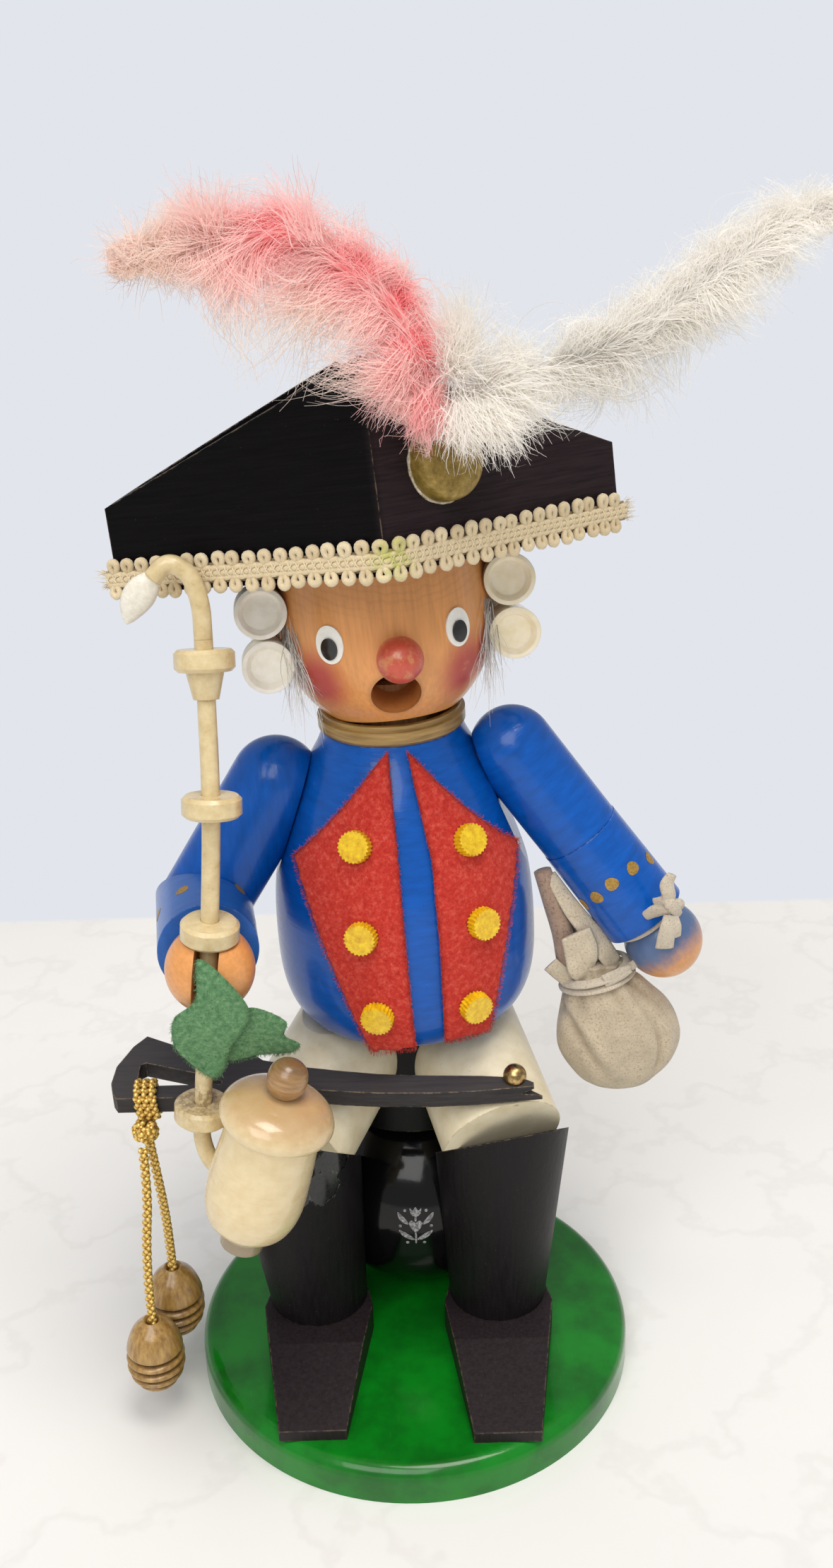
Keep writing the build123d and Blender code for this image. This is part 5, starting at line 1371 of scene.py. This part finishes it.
class SMOKER_OT_pipe(bpy.types.Operator):
    """Finish the pipe's stem, rings, bowl and lid, and carve its flat mouthpiece"""

    bl_idname = "smoker.pipe"
    bl_label = "Pipe"

    def execute(self, context):
        paint = context.scene.smoker_paint.cream
        cream = Finish("pipe_cream", paint, Roughness=0.28, Coat_Weight=0.4, Coat_Roughness=0.12)
        patches = cream.noise(3.0, 4, 0.6)
        shade = cream.ramp(patches, (0.3, tint(202, 178, 128)), (0.7, tint(228, 210, 166)))
        specks = cream.spots(0.67, 0.71, 0.5, 3, 0.75)
        shade = cream.glaze(specks, 0.5, shade, tint(120, 92, 56))
        stain = cream.near((-47.9, -30, 98.6), 4.0, 8.0)
        stain = cream.calc("MULTIPLY", stain, cream.spots(0.42, 0.6, 1.4, 4, 0.7))
        shade = cream.glaze(stain, 0.6, shade, tint(112, 80, 46))
        cream.paint(shade)
        cream.soften(0.3).dull(patches, 0.2, 0.4).relief(cream.noise(1.2, 3), 0.05)
        wear(cream.material, "pipe_stem", "pipe_rings", "pipe_bend", "pipe_elbow")

        bowl = Finish("bowl_cream", tint(230, 212, 168), Roughness=0.22, Coat_Weight=0.5, Coat_Roughness=0.1)
        local = bowl.local(bowl_frame, (0.25, 0.25, 1))
        rings = bowl.noise(1.2, 3, 0.6, local)
        shade = bowl.ramp(bowl.noise(3.5, 3), (0.3, tint(222, 200, 154)), (0.7, tint(234, 216, 174)))
        shade = bowl.glaze(bowl.fade(rings, 0.5, 0.7), 0.2, shade, tint(200, 172, 122))
        height = bowl.part(bowl.local(bowl_frame), 2)
        height = bowl.calc("ADD", height, bowl.calc("MULTIPLY", bowl.noise(3.0, 4), 4.0))
        shade = bowl.glaze(bowl.fade(height, 38, 44), 0.6, shade, tint(168, 120, 66))
        foot = bowl.fade(bowl.part(bowl.local(bowl_frame), 2), 4.2, 2.6)
        shade = bowl.glaze(foot, 0.75, shade, tint(112, 96, 82))
        bowl.paint(bowl.glaze(bowl.spots(0.67, 0.71, 0.5, 3, 0.75), 0.5, shade, tint(120, 88, 50)))
        bowl.soften(0.3).dull(rings, 0.2, 0.34).relief(bowl.noise(2.5, 3), 0.03)
        wear(bowl.material, "pipe_bowl", "bowl_lid")

        knob = Finish("knob_tan", tint(196, 156, 100), Roughness=0.3, Coat_Weight=0.4, Coat_Roughness=0.15)
        grain = knob.noise(0.9, 4, 0.6, knob.local(bowl_frame, (0.15, 0.15, 1)))
        shade = knob.ramp(grain, (0.3, tint(136, 98, 58)), (0.7, tint(184, 146, 98)))
        top = knob.calc("MULTIPLY", knob.fade(knob.part(knob.local(bowl_frame), 2), 48, 52.4), 0.6)
        knob.paint(knob.mix(top, shade, tint(92, 70, 48))).relief(grain, 0.03)
        wear(knob.material, "lid_knob")

        ivory = Finish("mouthpiece_white", tint(226, 216, 190), Roughness=0.5, Coat_Weight=0.2)
        patches = ivory.noise(1.0, 4, 0.7)
        ivory.paint(ivory.ramp(patches, (0.3, tint(222, 214, 194)), (0.65, tint(244, 240, 228)))).relief(patches, 0.04)
        start, end = Vector((-50.361, -14.817, 220.819)), Vector((-56.8, -14.9, 210.8))
        share = np.linspace(0, 1, 26)
        bow = [0.5 * math.sin(t * math.pi) for t in share]
        line = np.array([tuple(start.lerp(end, t) + Vector((-out, 0, out))) for t, out in zip(share, bow)])
        wide = 3.4 * np.sin(np.clip(share * 0.86 + 0.14, 0, 1) * math.pi) ** 0.75 + 0.15
        wide[:4] = np.maximum(wide[:4], 1.9)
        tip = Form()
        rope(tip, line, wide, 16, flat=wide * 0.42 + 0.35, facing=(0.25, -1, 0.1))
        make("mouthpiece_leaf", tip, ivory.material, "pipe", ["pipe_mouthpiece"])
        return {"FINISHED"}


LARGE_LEAF = (
    (-0.02, 0.445), (-0.085, -0.06), (-0.335, -0.325), (-0.41, -0.545), (-0.405, -0.88), (-0.23, -1.18),
    (-0.035, -1.345), (0.105, -1.245), (0.25, -0.83), (0.42, -0.53), (0.485, -0.225), (0.285, 0.17),
)
SMALL_LEAF = (
    (0.30, -0.55), (0.435, -0.29), (0.62, -0.3), (0.865, -0.51), (0.83, -0.74), (0.985, -0.9),
    (0.92, -1.03), (0.745, -1.075), (0.515, -1.09), (-0.05, -1.2), (-0.05, -0.95),
)
LEAF_BEND = ((-0.55, 0.75), (-0.535, 0.06), (-0.375, -0.54), (-0.145, -1.14), (-0.145, -1.74))


class SMOKER_OT_leaves(bpy.types.Operator):
    """Cut the two green felt leaves on the pipe's stem"""

    bl_idname = "smoker.leaves"
    bl_label = "Leaves"

    def execute(self, context):
        green = felt("green_felt", context.scene.smoker_trim.green, tint(76, 118, 82), tint(146, 180, 138))
        bend = smooth_line(scaled(LEAF_BEND, LEAF_UNIT, LEAF_UNIT), 60)[::-1]
        for name, shares, behind, seed in (("large_leaf", LARGE_LEAF, 0.0, 41), ("small_leaf", SMALL_LEAF, 1.55, 43)):
            def place(points, height):
                middle = np.interp(points[:, 1], bend[:, 1], bend[:, 0]) + behind
                waves = 0.35 * np.sin(points[:, 0] * 0.5 + points[:, 1] * 0.21)
                local = np.stack([points[:, 0], middle + 0.75 - height + waves * 0.5, points[:, 1]], 1)
                return local + GRIP

            outline = smooth_line(scaled(shares, LEAF_UNIT, LEAF_UNIT), 90, closed=True)
            leaf, nap = Form(), Form()
            felt_sheet(leaf, outline, 0.9, place, 1.5, 0.7)
            fuzz(nap, outline, lambda points, height: place(points, height * 0.85), 1500, 1.2, seed)
            lay_felt(name, outline, leaf, nap, green, "pipe")
        return {"FINISHED"}


# Cords, beads and sword knot

FRONT_CORD = (
    (-64.1, -24.2, 81.7), (-64.0, -24.9, 68.0), (-65.5, -25.3, 56.0), (-66.2, -25.7, 43.5),
    (-66.3, -26.0, 33.5), (-66.3, -26.1, 25.5),
)
REAR_CORD = (
    (-62.9, -21.3, 81.4), (-62.2, -18.6, 66.5), (-62.1, -15.4, 53.5), (-62.5, -12.6, 43.0),
    (-62.7, -11.2, 35.5), (-62.7, -11.0, 29.5),
)

GROOVES = (3.3, 6.0, 8.7, 11.4)


def route_points(points):
    """Points along the smooth NURBS line of a route, in millimetres."""
    curve = bpy.data.curves.new("route", "CURVE")
    curve.dimensions = "3D"
    spline = curve.splines.new("NURBS")
    spline.points.add(len(points) - 1)
    for knot, point in zip(spline.points, points):
        knot.co = (*(value * MILLIMETRE for value in point), 1)
    spline.order_u = 3
    spline.use_endpoint_u = True
    spline.resolution_u = 24
    holder = bpy.data.objects.new("route", curve)
    mesh = bpy.data.meshes.new_from_object(holder)
    found = np.array([tuple(vertex.co) for vertex in mesh.vertices]) / MILLIMETRE
    bpy.data.objects.remove(holder)
    bpy.data.curves.remove(curve)
    bpy.data.meshes.remove(mesh)
    return found


def twisted(form, line, width, lay):
    """Two plies twisted round a line; width is the whole cord's."""
    steps = distances(line)
    wanted = np.linspace(0, steps[-1], max(int(steps[-1] / 0.16), 8))
    fine = resampled(line, steps, wanted)
    firsts, seconds = across_line(fine)
    radius = width / 4
    for ply in range(PLIES):
        angle = wanted / lay * 2 * math.pi + ply * 2 * math.pi / PLIES
        path = fine + (firsts * np.cos(angle)[:, None] + seconds * np.sin(angle)[:, None]) * radius
        # The tone follows the winding: painted shade in the grooves between turns, painted highlight on their crowns
        winding = np.sin(wanted / 0.68 * 2 * math.pi + ply)
        rope(form, path, radius * (1.04 + 0.11 * winding), 9, tone=np.repeat(0.5 + 0.5 * winding, 9))


def gold_thread(name, base):
    """Shiny twisted thread, its fibres running along each ply, with painted shade and highlight along the twist and
    painted glints.
    """
    gold = Finish(name, base, Roughness=0.36, Metallic=0.55)
    fibres = gold.noise(0.4, 3, 0.7)
    # Dark tones are painted shade, light tones are painted highlight, and the pale flecks are painted glints
    shade = gold.ramp(gold.tone(), (0.0, tint(148, 102, 34)), (0.5, base), (1.0, tint(250, 222, 134)))
    gold.paint(gold.glaze(gold.fade(fibres, 0.45, 0.7), 0.35, shade, tint(255, 240, 190)))
    gold.relief(fibres, 0.03)
    return gold.material


class SMOKER_OT_cords(bpy.types.Operator):
    """Twist the gold cords, tie the knot on the sabre's guard and thread the grooved beads"""

    bl_idname = "smoker.cords"
    bl_label = "Cords and Beads"

    def execute(self, context):
        sizes = context.scene.smoker_leather
        gold = gold_thread("cord_gold", sizes.cord)
        wood = Finish("bead_varnish", sizes.bead, Roughness=0.3, Coat_Weight=0.45, Coat_Roughness=0.15)
        grain = wood.noise(1.1, 4, 0.6, wood.stretched((1, 1, 0.12)))
        shade = wood.ramp(grain, (0.3, tint(128, 92, 42)), (0.7, tint(190, 152, 86)))
        # Painted shade: the beads are darker brown in their grooves
        wood.paint(wood.glaze(wood.fade(wood.tone(), 0.9, 0.2), 0.85, shade, tint(72, 46, 20)))
        wood.dull(grain, 0.22, 0.42).relief(grain, 0.05)
        shares = ((0.25, 0.0), (0.7, 0.1), (0.95, 0.27), (1.0, 0.45), (0.93, 0.66), (0.7, 0.86), (0.3, 1.0))
        profile = smooth_line(scaled(shares, BEAD_RADIUS, BEAD_HEIGHT), 150)
        for groove in GROOVES:
            away = np.abs(profile[:, 1] - groove)
            profile[:, 0] -= 1.5 * np.exp(-(away / 0.62) ** 2)
        profile = np.vstack([[(0.0, 0.0)], profile, [(1.9, 20.8), (1.62, 20.3), (1.55, 13.4), (0.0, 13.2)]])
        for name, points in (("front", FRONT_CORD), ("rear", REAR_CORD)):
            across, back, up = points[-1]
            foot = up + BEAD_SUNK - BEAD_HEIGHT
            bead = Form()
            turned(bead, Matrix.Translation((across, back, foot)), profile, 56)
            # Tone by distance from a groove, for the painted shade in the grooves
            heights = np.array(bead.points)[:, 2] - foot
            near = np.min([np.abs(heights - groove) for groove in GROOVES], axis=0)
            bead.tones = list(np.clip(near / 0.8, 0, 1))
            body = name + "_tassel"
            bead_piece = make(name + "_bead_turned", bead, wood.material, body, [name + "_bead"])
            line = route_points(points)
            rope_form = Form()
            twisted(rope_form, line, sizes.cord_width, 4.6)
            tail = make(name + "_cord_twist", rope_form, gold, body, [name + "_tassel_cord"])
        knot = Form()
        bar = sabre_frame @ Matrix.Translation((0.082 * SABRE_LENGTH, 0, 0))
        for shift in (-1.9, -0.1, 1.7):
            turn = np.linspace(-0.1, 2 * math.pi + 0.1, 40)
            loop = []
            for angle in turn:
                across, up = math.cos(angle), math.sin(angle)
                square = (abs(across) ** 4 + abs(up) ** 4) ** 0.25
                spot = (shift + 0.25 * angle, 3.25 + across / square * 3.5, 2.25 + up / square * 3.55)
                loop.append(tuple(bar @ Vector(spot)))
            twisted(knot, np.array(loop), 2.1, 4.2)
        for tilt, spin in ((0.2, 0.0), (1.3, 0.9), (2.3, 2.0), (0.9, 2.8)):
            axis = Vector((math.sin(tilt) * math.cos(spin), math.sin(tilt) * math.sin(spin), math.cos(tilt)))
            basis = frame_of((0, 0, 0), axis.orthogonal(), axis).to_3x3()
            turn = np.linspace(0, 1.75 * math.pi, 26)
            loop = [tuple(basis @ Vector((2.3 * math.cos(a), 2.3 * math.sin(a), 0.5 * math.sin(2 * a)))) for a in turn]
            twisted(knot, np.array(loop) + KNOT_MIDDLE, 2.2, 4.2)
        make("guard_knot", knot, gold, "lower_body", ["sword_knot"])
        return {"FINISHED"}


# Purse, tie and thong

POUCH_SHARES = (
    (0.0, 0.0, 0.32, 0.26), (-0.01, 0.06, 0.72, 0.54), (-0.02, 0.17, 0.97, 0.66), (-0.03, 0.29, 1.0, 0.68),
    (-0.09, 0.40, 0.86, 0.6), (-0.25, 0.50, 0.6, 0.44), (-0.36, 0.56, 0.42, 0.3), (-0.40, 0.60, 0.46, 0.3),
)


def leather(name, light, dark, grit=1.0):
    """Soft unfinished leather with a speckled nap."""
    skin = Finish(name, light, Roughness=0.85, Sheen_Weight=0.3, Sheen_Roughness=0.5, Specular_IOR_Level=0.2)
    cloud = skin.noise(5.0, 4, 0.6)
    nap = skin.noise(0.55 * grit, 4, 0.75)
    shade = skin.ramp(cloud, (0.32, shaded(light, 0.8)), (0.68, light))
    shade = skin.glaze(skin.fade(nap, 0.5, 0.64), 0.8, shade, dark)
    # Low tones from the mesh get the dark colour: painted shade in creases
    shade = skin.glaze(skin.fade(skin.tone(), 0.42, 0.0), 0.55, shade, dark)
    skin.paint(shade)
    skin.relief(nap, 0.18).relief(cloud, 0.5).relief(skin.noise(1.8, 4, 0.7), 0.25).relief(skin.noise(0.25, 3), 0.05)
    return skin.material


def pouch_body():
    """The bag: full below, pleated where the tie draws it in, with a fold and a side seam."""
    rings = smooth_line([
        (PURSE_ACROSS + side * PURSE_RADIUS, PURSE_FOOT + up * PURSE_HEIGHT, wide * PURSE_RADIUS, deep * PURSE_RADIUS)
        for side, up, wide, deep in POUCH_SHARES
    ], 74)
    columns = 144
    turn = round_turn(columns)
    points, tones = [], []
    for middle, up, wide, deep in rings:
        height = (up - PURSE_FOOT) / PURSE_HEIGHT
        pleat = spread(height, 0.26, 0.56)
        flutes = 0.5 * np.sin(turn * 11 + 1.2 * np.sin(turn * 3)) + 0.5 * np.sin(turn * 7 + 2)
        ripple = flutes * (0.085 * pleat**1.6 + 0.012)
        lump = 0.03 * np.sin(turn * 3 + height * 9) + 0.018 * np.sin(turn * 5 - height * 14 + 1)
        scale = 1 + ripple + lump * (1 - pleat)
        x = middle + wide * np.cos(turn) * scale
        y = PURSE_DEEP + deep * np.sin(turn) * scale
        bent = 0.02 + 0.62 * np.sin(np.clip(height / 0.52, 0, 1) * math.pi * 0.8 + 0.5)
        seam_line = PURSE_ACROSS + PURSE_RADIUS * bent
        front = np.sin(turn) < 0.1
        sewn = front * spread(height, 0.06, 0.16)
        seam = np.exp(-((x - seam_line) / 0.9) ** 2) * sewn
        welt = np.exp(-((x - seam_line - 2.4) / 1.5) ** 2) * sewn
        fold_line = 39.5 + (102.6 - up) * 0.62
        folded = front * spread(up, 84, 90) * spread(up, 106, 101)
        fold = np.exp(-((x - fold_line) / 1.5) ** 2) * folded
        ridge = np.exp(-((x - fold_line - 3.0) / 2.0) ** 2) * folded
        push = -0.9 * seam + 0.8 * welt - 1.1 * fold + 0.8 * ridge
        x = x + np.cos(turn) * push
        y = y + np.sin(turn) * push
        points.extend(np.column_stack([x, y, np.full(columns, up)]))
        # Painted shade: the tone is lower in the pleat valleys, along the seam and in the fold
        tones.extend(np.clip(0.55 + flutes * 0.5 * pleat - 0.5 * seam - 0.4 * fold, 0, 1))
    form = Form()
    form.add(points, ring_faces(len(rings), columns, capped=True), tones)
    return form


# Leather strips: their points, widths, thickness, the way the flat side faces, tone and steps
FLAPS = (
    (((46.5, 2.4, 110.5), (44.6, 0.3, 114.5), (44.0, -0.2, 119.5), (42.6, -0.6, 124.6)),
     (5.0, 8.2, 9.0, 8.0), 1.1, (0.25, -1, 0.1), 0.85, 34),
    (((52.8, 3.4, 113.4), (48.4, 2.6, 120.6), (42.0, 2.6, 129.6), (36.6, 3.6, 138.6)),
     (5.0, 5.6, 4.8, 3.2), 1.1, (0.5, -1, 0.3), 0.8, 40),
    (((41.6, 2.0, 109.8), (39.0, 1.4, 112.6), (36.6, 1.6, 114.9)), (4.5, 4.6, 4.4), 1.0, (-0.3, -1, 0.2), 0.5, 20),
    (((45.0, 8.0, 110.5), (43.0, 9.0, 117), (40.0, 8.6, 126), (37.2, 7.0, 134)),
     (8, 8, 7, 5), 1.1, (0.2, 1, 0.1), 0.55, 34),
    (((50.0, 7.4, 112.0), (48.6, 8.6, 117.5), (45.6, 8.4, 123)), (6, 7, 5.5), 1.1, (0.4, 1, 0.2), 0.6, 24),
)
TIE_END = ((56.4, 1.6, 113.4), (58.4, 1.0, 115.6), (59.4, 0.8, 118.2)), (2.6, 2.4, 2.2), 1.1, (0.3, -1, 0.2), 0.7, 20
LACE_KNOT = (
    (((59.0, -3.8, 130.6), (61.0, -5.3, 132.6), (63.6, -6.4, 134.2), (66.4, -6.0, 134.6), (67.4, -4.4, 133.4)),
     (2.6, 3.4, 3.6, 3.2, 2.4), 1.5, (0.2, -1, 0.3), 0.6, 36),
    (((61.0, -5.0, 134.8), (63.2, -7.0, 136.0), (65.2, -7.2, 134.4), (66.6, -5.6, 131.8)),
     (2.6, 3.2, 3.0, 2.4), 1.4, (0.3, -1, 0.2), 0.7, 30),
    (((64.2, -6.4, 134.4), (63.9, -7.0, 137.6), (63.3, -6.9, 140.6), (64.4, -7.0, 143.2)),
     (2.4, 3.4, 3.6, 2.4), 1.0, (0.1, -1, 0.1), 0.7, 26),
    (((64.2, -7.0, 132.4), (63.8, -7.9, 129.6), (63.4, -8.0, 126.6), (63.2, -7.6, 123.8)),
     (2.8, 4.0, 4.4, 4.6), 1.0, (0.1, -1, 0.1), 1.0, 26),
    (((65.2, -6.8, 132.0), (65.8, -7.4, 129.2), (66.0, -7.2, 126.6)), (2.4, 3.0, 2.6), 1.0, (0.3, -1, 0.1), 0.5, 20),
)


def strip(form, points, wide, thick, facing, tone, count):
    """A flat leather strip along a smooth line, its flat side towards facing."""
    line = smooth_line(points, count)
    share = np.linspace(0, 1, count)
    wide = np.interp(share, np.linspace(0, 1, len(wide)), wide) / 2
    rope(form, line, wide, 12, flat=thick / 2, facing=facing, tone=tone)


class SMOKER_OT_purse(bpy.types.Operator):
    """Sew the soft leather purse and tie it to the left wrist"""

    bl_idname = "smoker.purse"
    bl_label = "Purse"

    def execute(self, context):
        sizes = context.scene.smoker_leather
        nap = leather("pouch_leather", sizes.pouch, tint(158, 138, 110))
        purse = make("purse_body", pouch_body(), nap, "pouch", ["money_pouch"])

        frill = leather("pouch_frill", sizes.frill, tint(116, 92, 76), 1.3)
        rolled = Form()
        tube_line = smooth_line([
            (43.6, 4.0, 108.5), (41.4, 3.6, 114.0), (39.7, 3.4, 122.9), (37.3, 3.9, 131), (34.7, 4.3, 139.6)
        ], 60)
        swell = np.interp(np.linspace(0, 1, len(tube_line)), (0, 0.2, 0.6, 1), (2.4, 2.9, 2.6, 2.2))
        rope(rolled, tube_line, swell, 24, flat=swell * 0.8, facing=(0, 1, 0), tone=0.6)
        make("purse_roll", rolled, frill, "pouch")
        flaps = Form()
        for flap in FLAPS:
            strip(flaps, *flap)
        flap_leather = leather("flap_leather", tint(222, 208, 182), tint(172, 150, 120))
        make("purse_flaps", flaps, flap_leather, "pouch")

        lace = leather("thong_leather", sizes.thong, tint(168, 152, 130), 0.8)
        tie = Form()
        slant = math.radians(15)
        cosine, sine = math.cos(slant), math.sin(slant)
        band = frame_of((48.3, PURSE_DEEP, 110.4), (cosine, 0, sine), (-sine, 0, cosine))
        for lift, wide, deep, tilt in ((1.15, 8.6, 6.9, 0.2), (-1.15, 8.9, 7.0, -0.2)):
            loop = hoop(band, 60, wide, deep, lambda angle: lift + tilt * math.sin(angle + 1))
            rope(tie, loop, sizes.tie_width / 2, 12, closed=True, flat=0.55, tone=0.75)
        make_band(tie, band, sizes.tie_width)
        strip(tie, *TIE_END)
        make("purse_tie", tie, lace, "pouch", ["pouch_tie"])

        thong = Form()
        ring_frame = left_wrist @ Matrix.Translation((0, 0, 1.05))
        loop = hoop(ring_frame, 72, 8.35, 8.35, lambda angle: 0.1 * math.sin(3 * angle))
        rope(thong, loop, 1.15, 10, closed=True, flat=0.7, tone=0.7)
        for end in LACE_KNOT:
            strip(thong, *end)
        make("wrist_lace", thong, lace, "pouch", ["wrist_thong"])
        return {"FINISHED"}


def make_band(form, band, width):
    """The near end of the tie, laid over its two turns."""
    for lift in (0.2, 1.4):
        points = [band @ Vector((x, -7.2 + 0.02 * x * x, lift + 0.12 * x)) for x in (1.5, 4.0, 6.5, 8.8)]
        strip(form, points, (width, width, width * 0.9, width * 0.5), 0.9, (0.1, -1, 0.1), 0.9, 20)


# Stage

class SMOKER_OT_stage(bpy.types.Operator):
    """Set the floor, the lights and the camera"""

    bl_idname = "smoker.stage"
    bl_label = "Stage"

    def execute(self, context):
        sizes = context.scene.smoker_stage
        mesh = bpy.data.meshes.new("floor")
        half = 6.0
        mesh.from_pydata([(-half, -half, 0), (half, -half, 0), (half, half, 0), (-half, half, 0)], [], [(0, 1, 2, 3)])
        floor = bpy.data.objects.new("floor", mesh)
        context.scene.collection.objects.link(floor)
        marble = Finish("pale_floor", sizes.floor, Roughness=0.5)
        veins = marble.spots(0.47, 0.5, 55, 5, 0.55)
        back = marble.spots(0.5, 0.53, 55, 5, 0.55)
        veins = marble.calc("SUBTRACT", veins, back)
        cloud = marble.noise(120, 4, 0.5)
        shade = marble.ramp(cloud, (0.35, shaded(sizes.floor, 0.95)), (0.65, sizes.floor))
        shade = marble.glaze(veins, 0.14, shade, tint(196, 192, 188))
        marble.paint(shade)
        far = marble.fade(marble.part(marble.position, 1), 250, 254)
        backdrop = marble.node("Emission", 0, (0, (*sizes.wall, 1)))
        rays = marble.tree.nodes.new("ShaderNodeLightPath").outputs
        seen = marble.calc("MAXIMUM", rays["Is Camera Ray"], rays["Is Glossy Ray"])
        seen = marble.calc("MAXIMUM", seen, rays["Is Transmission Ray"])
        share = marble.calc("MULTIPLY", far, seen)
        both = marble.node("MixShader", 0, (0, share), (1, marble.shader.outputs[0]), (2, backdrop))
        marble.tree.links.new(both, marble.tree.nodes["Material Output"].inputs["Surface"])
        mesh.materials.append(marble.material)

        world = bpy.data.worlds.new("studio")
        world.use_nodes = True
        context.scene.world = world
        tree = world.node_tree
        tree.nodes["Background"].inputs[0].default_value = (*tint(244, 244, 246), 1)
        tree.nodes["Background"].inputs[1].default_value = 0.5
        seen = tree.nodes.new("ShaderNodeBackground")
        seen.inputs[0].default_value = (*sizes.wall, 1)
        path = tree.nodes.new("ShaderNodeLightPath")
        mix = tree.nodes.new("ShaderNodeMixShader")
        tree.links.new(path.outputs["Is Camera Ray"], mix.inputs[0])
        tree.links.new(tree.nodes["Background"].outputs[0], mix.inputs[1])
        tree.links.new(seen.outputs[0], mix.inputs[2])
        tree.links.new(mix.outputs[0], tree.nodes["World Output"].inputs[0])

        for name, spot, aim, width, watts, shade in (
            ("overhead_lamp", (0.3, -0.35, 2.1), (0, 0, 0.1), 0.9, 23, (255, 250, 242)),
            ("front_lamp", (-0.5, -1.7, 1.9), (0, 0, 0.15), 1.6, 32, (252, 250, 248)),
        ):
            light = bpy.data.lights.new(name, "AREA")
            light.energy, light.size, light.color = watts, width, tint(*shade)
            lamp = bpy.data.objects.new(name, light)
            lamp.location = spot
            lamp.rotation_euler = (Vector(aim) - Vector(spot)).to_track_quat("-Z", "Y").to_euler()
            context.scene.collection.objects.link(lamp)

        camera_data = bpy.data.cameras.new("camera")
        camera_data.lens = sizes.lens
        camera_data.sensor_fit = "VERTICAL"
        camera_data.sensor_height = 36
        camera = bpy.data.objects.new("camera", camera_data)
        context.scene.collection.objects.link(camera)
        forward = Vector((0, math.cos(sizes.pitch), -math.sin(sizes.pitch)))
        right, up = Vector((1, 0, 0)), Vector((0, math.sin(sizes.pitch), math.cos(sizes.pitch)))
        across = right * math.cos(sizes.roll) + up * math.sin(sizes.roll)
        camera.matrix_world = frame_of(sizes.place, across, -forward)
        context.scene.camera = camera
        context.scene.view_settings.view_transform = "Standard"
        return {"FINISHED"}


# Panel and registration

class SMOKER_PT_panel(bpy.types.Panel):
    """Lists the steps that dress the smoker"""

    bl_idname = "SMOKER_PT_panel"
    bl_label = "Turned Incense Smoker"
    bl_space_type = "VIEW_3D"
    bl_region_type = "UI"
    bl_category = "Smoker"

    def draw(self, context):
        column = self.layout.column()
        for operator in OPERATORS:
            column.operator(operator.bl_idname)
        for name, group in GROUPS.items():
            box = column.box()
            settings = getattr(context.scene, name)
            for setting in group.__annotations__:
                box.prop(settings, setting)


GROUPS = {
    "smoker_paint": PaintColours,
    "smoker_feather": FeatherSizes,
    "smoker_trim": TrimSizes,
    "smoker_leather": LeatherSizes,
    "smoker_stage": StageSizes,
}
OPERATORS = (
    SMOKER_OT_stage, SMOKER_OT_cords, SMOKER_OT_base, SMOKER_OT_legs, SMOKER_OT_sabre, SMOKER_OT_coat,
    SMOKER_OT_lapels, SMOKER_OT_head, SMOKER_OT_fur, SMOKER_OT_hat, SMOKER_OT_braid, SMOKER_OT_feathers,
    SMOKER_OT_pipe, SMOKER_OT_leaves, SMOKER_OT_purse,
)


def register():
    for name, group in GROUPS.items():
        bpy.utils.register_class(group)
        setattr(bpy.types.Scene, name, PointerProperty(type=group))
    for made in (*OPERATORS, SMOKER_PT_panel):
        bpy.utils.register_class(made)


def unregister():
    for made in reversed((*OPERATORS, SMOKER_PT_panel)):
        bpy.utils.unregister_class(made)
    for name, group in reversed(GROUPS.items()):
        delattr(bpy.types.Scene, name)
        bpy.utils.unregister_class(group)


def main():
    register()
    for operator in OPERATORS:
        group, step = operator.bl_idname.split(".")
        getattr(getattr(bpy.ops, group), step)()


if __name__ == "__main__":
    main()
